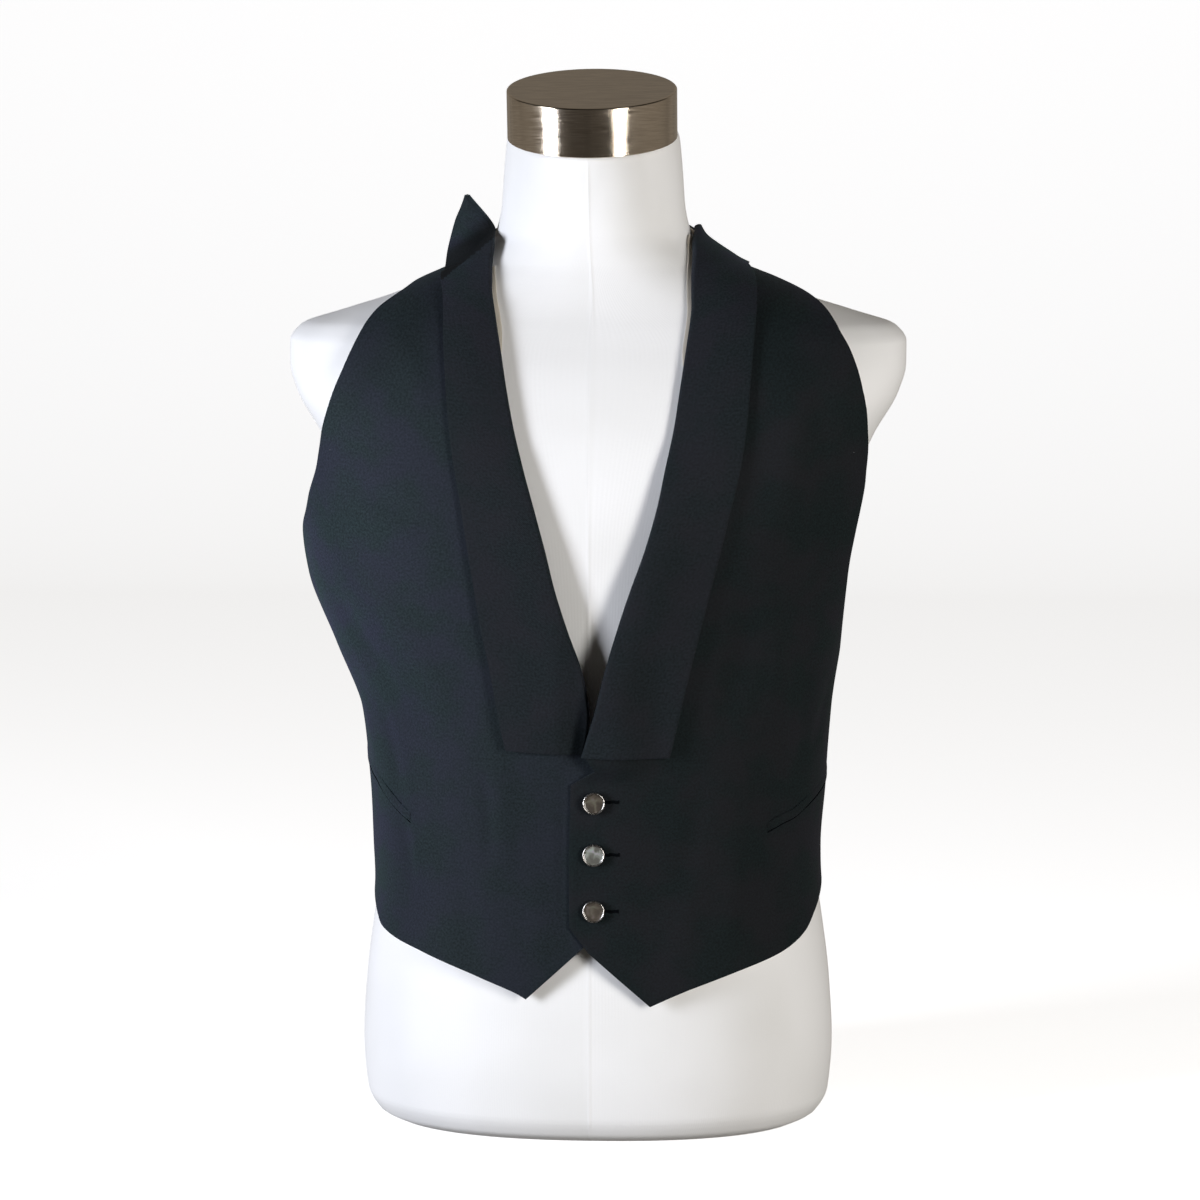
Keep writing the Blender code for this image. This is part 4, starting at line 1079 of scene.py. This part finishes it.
def build_welt(side):
    """A welt that lies on its front, crowned, with its ends sunk into the cloth."""
    lower, up_way = welt_line(side, WELT_STEPS)
    shares = np.linspace(0, 1, NARROW_STEPS + 1)
    net = np.array([lower + up_way * WELT_WIDTH * share for share in shares])
    crown = (WELT_CROWN * np.sin(math.pi * shares) - WELT_DROP * shares)[:, None]
    from_end = np.linalg.norm(lower - lower[0], axis=1)
    sunk = WELT_END_SINK * (1 - ramp(from_end, 0, WELT_END_RUN))
    sunk = sunk + WELT_FAR_SINK * ramp(lower[:, 0], *WELT_FAR_RUN)
    places = on_cloth(side, net[..., 0], net[..., 1], CLOTH + WELT_GAP + crown - sunk)
    piece = cloth(f"welt_{side}", places, net, LAPEL_CLOTH, side == "right", FRONT_WORSTED[side],
                  edge=0.4)
    finish_cloth(piece, (f"pocket_welt_{side}",))


def build_edge_lining(side):
    """The cream lining that shows as a narrow edge inside the roll beside the neck."""
    rows = smooth(LAPEL_ROWS[side], LAPEL_FINE)
    peeps = EDGE_LINING_PEEPS[side]
    rows = rows[(rows[:, 1] > peeps[0][0]) & (rows[:, 1] < peeps[-1][0])]
    peep = read_table(peeps, rows[:, 1], 1)
    shares = np.linspace(0, 1, NARROW_STEPS + 1)[None, :]
    way = unit(rows[:, 2:4] - rows[:, :2])
    out = -peep[:, None] + (EDGE_LINING_WIDTH + peep[:, None]) * shares
    places = rows[:, None, :2] + way[:, None, :] * out[..., None]
    net = on_cloth(side, places[..., 0], places[..., 1], EDGE_LINING_OFF)
    piece = cloth(f"edge_lining_{side}", net, flat_chart(net), EDGE_LINING_CLOTH, side == "right",
                  LINING, edge=0.15)
    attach(piece, "root")


def build_band(name, replaced, material, margin, off, thickness):
    """A band round the back of the neck, its lower edge up by the margin."""
    turns = np.linspace(BAND_START, 360 - BAND_START, BAND_STEPS + 1)
    share = (np.minimum(turns, 360 - turns) - BAND_START) / (180 - BAND_START)
    low = read_table(BAND_EDGES, share, 1) + margin
    high = read_table(BAND_EDGES, share, 2)
    heights = low[:, None] + (high - low)[:, None] * np.linspace(0, 1, BAND_LEVELS + 1)
    places = round_cloth(np.broadcast_to(turns[:, None], heights.shape), heights,
                         np.full(heights.shape, off))
    piece = cloth(name, places, flat_chart(places), thickness, True, material, edge=0.3)
    finish_cloth(piece, (replaced,))


def strap_turns():
    """Ways along the strap's ring, from the centre front by the right side, and their degrees."""
    degrees = np.linspace(0, 359.9, 3600)
    ring = ring_place(STRAP_MIDDLE, np.radians(-degrees), True)
    ways = np.concatenate(([0.0], np.cumsum(np.linalg.norm(np.diff(ring, axis=0), axis=1))))
    return ways, degrees


def slide_turn(along):
    """Degrees round the body at a distance along the strap from the slide's middle."""
    ways, degrees = strap_turns()
    middle = np.interp(360 - SLIDE_ANGLE, degrees, ways)
    return 360 - np.interp(middle - along, ways, degrees)


def straight(start, end, steps):
    """Places between two others, without the two."""
    return np.linspace(start, end, steps + 1)[1:-1]


def strap_at_slide(path, steps):
    """Degrees round the body and levels off the cloth along a strap's run at the slide."""
    path = walk(path, steps)
    return np.stack((slide_turn(path[:, 0]), path[:, 1]), axis=1)


def build_strap(name, path, replaced):
    """A strap along its path of degrees round the body and levels off the cloth."""
    turns, offs = path[:, 0], path[:, 1]
    heights = STRAP_MIDDLE + STRAP_WIDTH * np.linspace(-0.5, 0.5, STRAP_LEVELS + 1)
    turns, heights = np.broadcast_arrays(turns[:, None], heights[None, :])
    net = round_cloth(turns, heights, np.broadcast_to(offs[:, None], turns.shape))
    piece = cloth(name, net, flat_chart(net), STRAP_CLOTH, True, FRONT_WORSTED["left"], offset=0.0,
                  edge=0.35)
    finish_cloth(piece, (replaced,))


def build_straps():
    """The waist strap: the left part runs round the slide's bar, where the right part starts."""
    start = smooth(LEFT_STRAP_START, STRAP_END_FINE)
    left = strap_at_slide(LEFT_STRAP_AT_SLIDE, LEFT_STRAP_STEPS[0])
    left = np.concatenate((start, straight(start[-1], left[0], LEFT_STRAP_STEPS[1]), left))
    end = smooth(RIGHT_STRAP_END, STRAP_END_FINE)
    right = strap_at_slide(RIGHT_STRAP_AT_SLIDE, RIGHT_STRAP_STEPS[0])
    right = np.concatenate((right, straight(right[-1], end[0], RIGHT_STRAP_STEPS[1]), end))
    build_strap("strap_left", left, "waist_strap_left")
    build_strap("strap_right", right, "waist_strap_right")


def rounded_corners(centre, length, height, corner):
    """The outline of an oblong with rounded corners."""
    points = []
    for k, (sx, sy) in enumerate(((1, 1), (-1, 1), (-1, -1), (1, -1))):
        for step in range(5):
            turn = math.pi / 2 * (k + step / 4)
            points.append((centre + sx * (length / 2 - corner) + corner * math.cos(turn),
                           sy * (height / 2 - corner) + corner * math.sin(turn)))
    return points


def build_slide():
    """A slide bent from flat nickel wire: a rounded frame with a bar across its middle."""
    middle, foot = [Vector(round_cloth(SLIDE_ANGLE, float(STRAP_MIDDLE), level))
                    for level in (SLIDE_LEVEL, 0.0)]
    outward = (middle - foot).normalized()
    along = Vector((0.0, 0.0, 1.0)).cross(outward).normalized()
    place = Matrix((along, outward.cross(along), outward)).transposed().to_4x4()
    place.translation = middle * MM
    outline = bpy.data.curves.new("slide_outline", "CURVE")
    outline.dimensions = "2D"
    outline.fill_mode = "BOTH"
    outline.extrude = (SLIDE_WIRE / 2 - SLIDE_ROUNDING) * MM
    outline.bevel_depth = SLIDE_ROUNDING * MM
    outline.bevel_resolution = 2
    outline.offset = -SLIDE_ROUNDING * MM
    window = (SLIDE_LENGTH - 3 * SLIDE_BAR) / 2
    shapes = [(0.0, SLIDE_LENGTH, SLIDE_HEIGHT, SLIDE_CORNER)]
    for sign in (-1, 1):
        shapes.append((sign * (window + SLIDE_BAR) / 2, window, SLIDE_HEIGHT - 2 * SLIDE_BAR,
                       WINDOW_CORNER))
    for shape in shapes:
        spline = outline.splines.new("POLY")
        points = rounded_corners(*shape)
        spline.points.add(len(points) - 1)
        for point, (x, y) in zip(spline.points, points):
            point.co = (x * MM, y * MM, 0.0, 1.0)
        spline.use_cyclic_u = True
    drawn = bpy.data.objects.new("slide_outline", outline)
    bpy.context.scene.collection.objects.link(drawn)
    shown = drawn.evaluated_get(bpy.context.evaluated_depsgraph_get())
    mesh = bpy.data.meshes.new_from_object(shown)
    bpy.data.objects.remove(drawn, do_unlink=True)
    close_mesh(mesh, merge=MERGE)
    mesh.transform(place)
    mesh.set_sharp_from_angle(angle=METAL_CREASE)
    finish_hard(add_piece("slide", mesh, (PLATE_METAL,)), "nickel_plate", "strap_slide")


# out and up from the middle of a button's face, in shares of its radius and thickness
BUTTON_PROFILE = (
    (0, 0.7), (0.3, 0.705), (0.55, 0.72), (0.64, 0.745), (0.68, 0.75), (0.72, 0.735), (0.8, 0.76),
    (0.83, 0.85), (0.86, 0.95), (0.895, 1), (0.935, 0.98), (0.975, 0.85), (0.995, 0.7), (1, 0.55),
    (0.98, 0.36), (0.9, 0.18), (0.7, 0.06), (0.3, 0), (0, 0),
)
# the pearl reaches this share of the radius and down to this share of the thickness
PEARL_SHARE, PEARL_FROM = 0.82, 0.3
PALE_BUTTON = 2
# share of the radius on which a tilted button rests
BUTTON_FOOT = 0.7


def button_place(number):
    """Where a button's underside stands, turned to its seat and tilted."""
    tilt = math.radians(BUTTON_TILTS[number - 1])
    rise = BUTTON_FOOT * BUTTON_DIAMETER / 2 * math.sin(tilt)
    across, up = np.array(BUTTON_ACROSS), np.array(float(BUTTON_HEIGHTS[number - 1]))
    base = Vector(on_cloth("left", across, up, CLOTH + 1.5 * GAP + rise)) * MM
    out = Vector(unit(read_chart(WAYS_OUT, across, up))).to_track_quat("Z", "Y")
    return Matrix.Translation(base) @ out.to_matrix().to_4x4() @ Matrix.Rotation(tilt, 4, "Y")


def build_button(number):
    """A two-part button: a raised pewter rim round a dished pearl middle."""
    radius, thick = BUTTON_DIAMETER / 2, BUTTON_THICKNESS
    profile = [(out * radius, up * thick) for out, up in BUTTON_PROFILE]
    place = button_place(number)
    pearl = PALE_PEARL if number == PALE_BUTTON else PEARL
    piece = turned_piece(f"pearl_button_{number}", profile, place, (RIM_METAL, pearl), steps=64)
    back = place.inverted()
    for face in piece.data.polygons:
        spot = back @ face.center
        in_rim = math.hypot(spot.x, spot.y) < PEARL_SHARE * radius * MM
        if in_rim and spot.z > PEARL_FROM * thick * MM:
            face.material_index = 1
    finish_hard(piece, "smoky_pearl", f"button_{number}")


# ---- stitches ----------------------------------------------------------------------------------
def stitch_tree():
    """A tree that lays small thread stitches along a path, each along the path's sew_way."""
    tree = bpy.data.node_groups.new("stitches_along_path", "GeometryNodeTree")
    face = tree.interface
    face.new_socket("Geometry", in_out="INPUT", socket_type="NodeSocketGeometry")
    for name, value in (("Spacing", 0.0006), ("Stitch Length", 0.002), ("Thread Radius", 0.0002)):
        face.new_socket(name, in_out="INPUT", socket_type="NodeSocketFloat").default_value = value
    face.new_socket("Thread", in_out="INPUT", socket_type="NodeSocketMaterial")
    face.new_socket("Geometry", in_out="OUTPUT", socket_type="NodeSocketGeometry")
    given = add_node(tree, "NodeGroupInput")
    path = add_node(tree, "GeometryNodeMeshToCurve", (given,))
    spots = add_node(tree, "GeometryNodeResampleCurve",
                     {"Curve": path, "Length": given.outputs["Spacing"]}, mode="LENGTH")
    way = add_node(tree, "GeometryNodeInputNamedAttribute", {"Name": "sew_way"},
                   data_type="FLOAT_VECTOR")
    turn = add_node(tree, "FunctionNodeAlignRotationToVector", {"Vector": way}, axis="X")
    bead = add_node(tree, "GeometryNodeMeshUVSphere", {"Segments": 8, "Rings": 6, "Radius": 1.0})
    half = add_node(tree, MATHS, (given.outputs["Stitch Length"], 0.5), operation="MULTIPLY")
    radius = given.outputs["Thread Radius"]
    size = add_node(tree, "ShaderNodeCombineXYZ", (half, radius, radius))
    placed = add_node(tree, "GeometryNodeInstanceOnPoints",
                      {"Points": spots, "Instance": bead, "Rotation": turn, "Scale": size})
    real = add_node(tree, "GeometryNodeRealizeInstances", (placed,))
    finished = add_node(tree, "GeometryNodeSetMaterial",
                        {"Geometry": real, "Material": given.outputs["Thread"]})
    add_node(tree, "NodeGroupOutput", (finished,))
    return tree


STITCHES = stitch_tree()


def sew(name, runs, thread, spacing, length, radius):
    """Thread stitches along runs of (places, ways), all in mm."""
    points, edges, ways = [], [], []
    for places, directions in runs:
        edges += [(len(points) + k, len(points) + k + 1) for k in range(len(places) - 1)]
        points += (np.asarray(places) * MM).tolist()
        ways.append(np.asarray(directions))
    mesh = bpy.data.meshes.new(name)
    mesh.from_pydata(points, edges, [])
    layer = mesh.attributes.new("sew_way", "FLOAT_VECTOR", "POINT")
    layer.data.foreach_set("vector", np.concatenate(ways).astype(np.float32).ravel())
    piece = add_piece(name, mesh, ())
    laid = piece.modifiers.new("stitches", "NODES")
    laid.node_group = STITCHES
    values = {"Spacing": spacing * MM, "Stitch Length": length * MM, "Thread Radius": radius * MM,
              "Thread": thread}
    for item in STITCHES.interface.items_tree:
        if item.item_type == "SOCKET" and item.in_out == "INPUT" and item.name in values:
            laid[item.identifier] = values[item.name]
    settle(piece)
    piece.data.shade_smooth()
    finish_hard(piece, "black_worsted")


# places along a buttonhole's lips and its bar, how far the bar lies past its end, and radians of
# the lips' waver for each mm
LIP_PLACES, BAR_PLACES, BAR_BEYOND, WAVER_TURNS = 40, 8, 0.3, 0.9
# how far threads lie off the cloth: a buttonhole's lips, its bar, a welt's seam and its tack
LIP_OFF, BAR_OFF, SEAM_OFF, TACK_OFF = 0.16, 0.18, 0.1, 0.45


def thread_run(side, across, height, off, aside):
    """Places of stitches on a front, with the ways they point: towards a place this far aside."""
    places = on_cloth(side, across, height, CLOTH + off)
    beside = on_cloth(side, across + aside[0], height + aside[1], CLOTH + off)
    return places, unit(beside - places)


def build_buttonholes():
    """Three worked buttonholes: whipped lips on both sides of a slit, closed by a short bar."""
    lips, bars = [], []
    for height, start, end in BUTTONHOLES:
        across = np.linspace(start, end, LIP_PLACES)
        waver = LIP_WAVER * np.sin(across * WAVER_TURNS + height)
        for sign in (-1, 1):
            lips.append(thread_run("left", across, height + sign * LIP_HALF + waver, LIP_OFF,
                                   (0, 0.5)))
        line = np.linspace(height - BAR_HALF, height + BAR_HALF, BAR_PLACES)
        at_end = np.full(line.shape, end + BAR_BEYOND)
        bars.append(thread_run("left", at_end, line, BAR_OFF, (0.5, 0)))
    # lips and bar are real stitches, in glossless thread as painted shade of the slit
    sew("buttonhole_lips", lips, SHADE_THREAD, spacing=0.42, length=1.3, radius=0.3)
    sew("buttonhole_bars", bars, SHADE_THREAD, spacing=0.42, length=1.2, radius=0.3)


def build_welt_seams():
    """The seam along the lower edge of each welt, in glossless thread as painted shade."""
    for side in ("right", "left"):
        lower, up_way = welt_line(side, SEAM_STEPS)
        line = lower - up_way * WELT_SEAM_BELOW
        places = on_cloth(side, line[:, 0], line[:, 1], CLOTH + SEAM_OFF)
        along = unit(np.gradient(places, axis=0))
        sew(f"welt_seam_{side}", [(places, along)], SHADE_THREAD, spacing=1.1, length=1.9,
            radius=0.5)


def build_bar_tacks():
    """Short tacks that hold the front end of each welt."""
    for side in ("right", "left"):
        low, high = np.array(WELT_LINES[side][0]), np.array(WELT_LINES[side][1])
        run = unit(high - low)
        up = np.array((-run[1], run[0]))
        line = low + run + up * np.linspace(TACK_ROOM, WELT_WIDTH - TACK_ROOM, 12)[:, None]
        tack = thread_run(side, line[:, 0], line[:, 1], TACK_OFF, (0.5, 0))
        sew(f"welt_tack_{side}", [tack], THREAD, spacing=1.1, length=1.0, radius=0.2)


# ---- the studio --------------------------------------------------------------------------------
# the paper sweep: its reach to each side, its front edge, where it turns up, radius and top, in m
SWEEP_SIDE, SWEEP_FRONT, SWEEP_TURN, SWEEP_RADIUS, SWEEP_TOP = 6.0, -5.0, 3.0, 1.2, 5.0


def build_floor():
    """A pale sweep: floor, curve and wall in one sheet, not part of the object."""
    material, tree, shader = new_material("white_paper_sweep")
    paper = add_node(tree, NOISE, {"Scale": 6.0, "Detail": 2.0})
    colour = add_node(tree, MIX, {0: paper, 6: "#fbfbfb", 7: "#f8f8f8"}, **COLOURS)
    set_inputs(tree, shader, {"Base Color": colour, "Roughness": 0.9,
                              "Emission Color": "#ffffff", "Emission Strength": 0.75})
    profile = [(SWEEP_FRONT, 0.0), (SWEEP_TURN, 0.0)]
    profile += [(SWEEP_TURN + SWEEP_RADIUS * math.sin(a), SWEEP_RADIUS - SWEEP_RADIUS * math.cos(a))
                for a in np.linspace(0.1, math.pi / 2, 10)]
    profile += [(SWEEP_TURN + SWEEP_RADIUS, SWEEP_TOP)]
    points = [(x, y, z) for y, z in profile for x in (-SWEEP_SIDE, SWEEP_SIDE)]
    faces = [(2 * k, 2 * k + 1, 2 * k + 3, 2 * k + 2) for k in range(len(profile) - 1)]
    mesh = bpy.data.meshes.new("paper_sweep")
    mesh.from_pydata(points, [], faces)
    mesh.shade_smooth()
    sweep = add_piece("paper_sweep", mesh, (material,))
    sweep.visible_glossy = False
    sweep.visible_diffuse = False


# soft boxes: degrees round from the camera's side, + to the viewer's right, metres away, watts
# and colour; both are as high and as large
SOFT_BOXES = {"soft_box_left": (-57, 2.3, 78, "#f1f5ff"),
              "soft_box_right": (42, 2.4, 53, "#fdfaf6")}
BOX_HEIGHT, BOX_WIDTH, BOX_LENGTH = 0.45, 0.55, 1.5
ROOM_LIGHT = 0.5


def add_soft_box(name, turn, way, power, colour):
    """A soft box that faces the form's middle from its own height."""
    lamp = bpy.data.lights.new(name, "AREA")
    lamp.shape = "RECTANGLE"
    lamp.size, lamp.size_y = BOX_WIDTH, BOX_LENGTH
    lamp.energy = power
    lamp.color = linear(colour)[:3]
    item = bpy.data.objects.new(name, lamp)
    bpy.context.scene.collection.objects.link(item)
    angle = math.radians(turn)
    item.location = (way * math.sin(angle), -way * math.cos(angle), BOX_HEIGHT)
    aim = Vector((0.0, 0.0, BOX_HEIGHT)) - item.location
    item.rotation_euler = aim.to_track_quat("-Z", "Y").to_euler()


def light_room(world):
    """A warm grey room with uneven panels, dark behind the camera, overhead and underfoot."""
    world.use_nodes = True
    tree = world.node_tree
    parts = add_node(tree, PARTS, (add_node(tree, COORDS).outputs["Generated"],))
    # the way looked: x to the viewer's right, y away from the camera, z up, from -1 to 1
    x, y, z = parts.outputs
    tone = add_node(tree, RANGE, (z, -0.5, 0.3), **EASED)
    colour = add_node(tree, MIX, {0: tone, 6: "#b5ada3", 7: "#b3a99c"}, **COLOURS)
    waves = add_node(tree, NOISE, {"W": x, "Scale": 7.0, "Detail": 3.0}, noise_dimensions="1D")
    high = add_node(tree, RANGE, (z, -0.05, 0.25, 1.0, 0.2), **EASED)
    far = add_node(tree, RANGE, (y, 0.2, 0.7), **EASED)
    room = add_node(tree, RANGE, (y, -0.78, -0.4, 0.3, 1.0), **EASED)
    for share in (add_node(tree, RANGE, (waves, 0.3, 0.7, 0.85, 1.25), **EASED),
                  add_node(tree, MATHS, (high, far), operation="MAXIMUM"),
                  add_node(tree, RANGE, (z, -0.9, -0.4, 0.3, 1.0), **EASED),
                  ROOM_LIGHT):
        room = add_node(tree, MATHS, (room, share), operation="MULTIPLY")
    set_inputs(tree, tree.nodes["Background"], (colour, room))


def build_studio():
    """Two soft boxes in a warm grey room."""
    scene = bpy.context.scene
    scene.view_settings.view_transform = "Standard"
    for name, box in SOFT_BOXES.items():
        add_soft_box(name, *box)
    scene.world = bpy.data.worlds.new("studio")
    light_room(scene.world)


# ---- everything --------------------------------------------------------------------------------
build_form()
build_cap()
build_front("right")
build_front("left")
build_lapel("right")
build_lapel("left")
build_edge_lining("right")
build_edge_lining("left")
build_welt("right")
build_welt("left")
build_band("neck_band_outer", "neck_band", LAPEL_WORSTED,
           margin=0.0, off=0.0, thickness=CLOTH)
build_band("neck_band_inner", "neck_band_lining", LINING,
           margin=LINING_MARGIN, off=-GAP - LINING_CLOTH, thickness=LINING_CLOTH)
build_straps()
build_slide()
for number in (1, 2, 3):
    build_button(number)
build_buttonholes()
build_welt_seams()
build_bar_tacks()
build_floor()
build_studio()
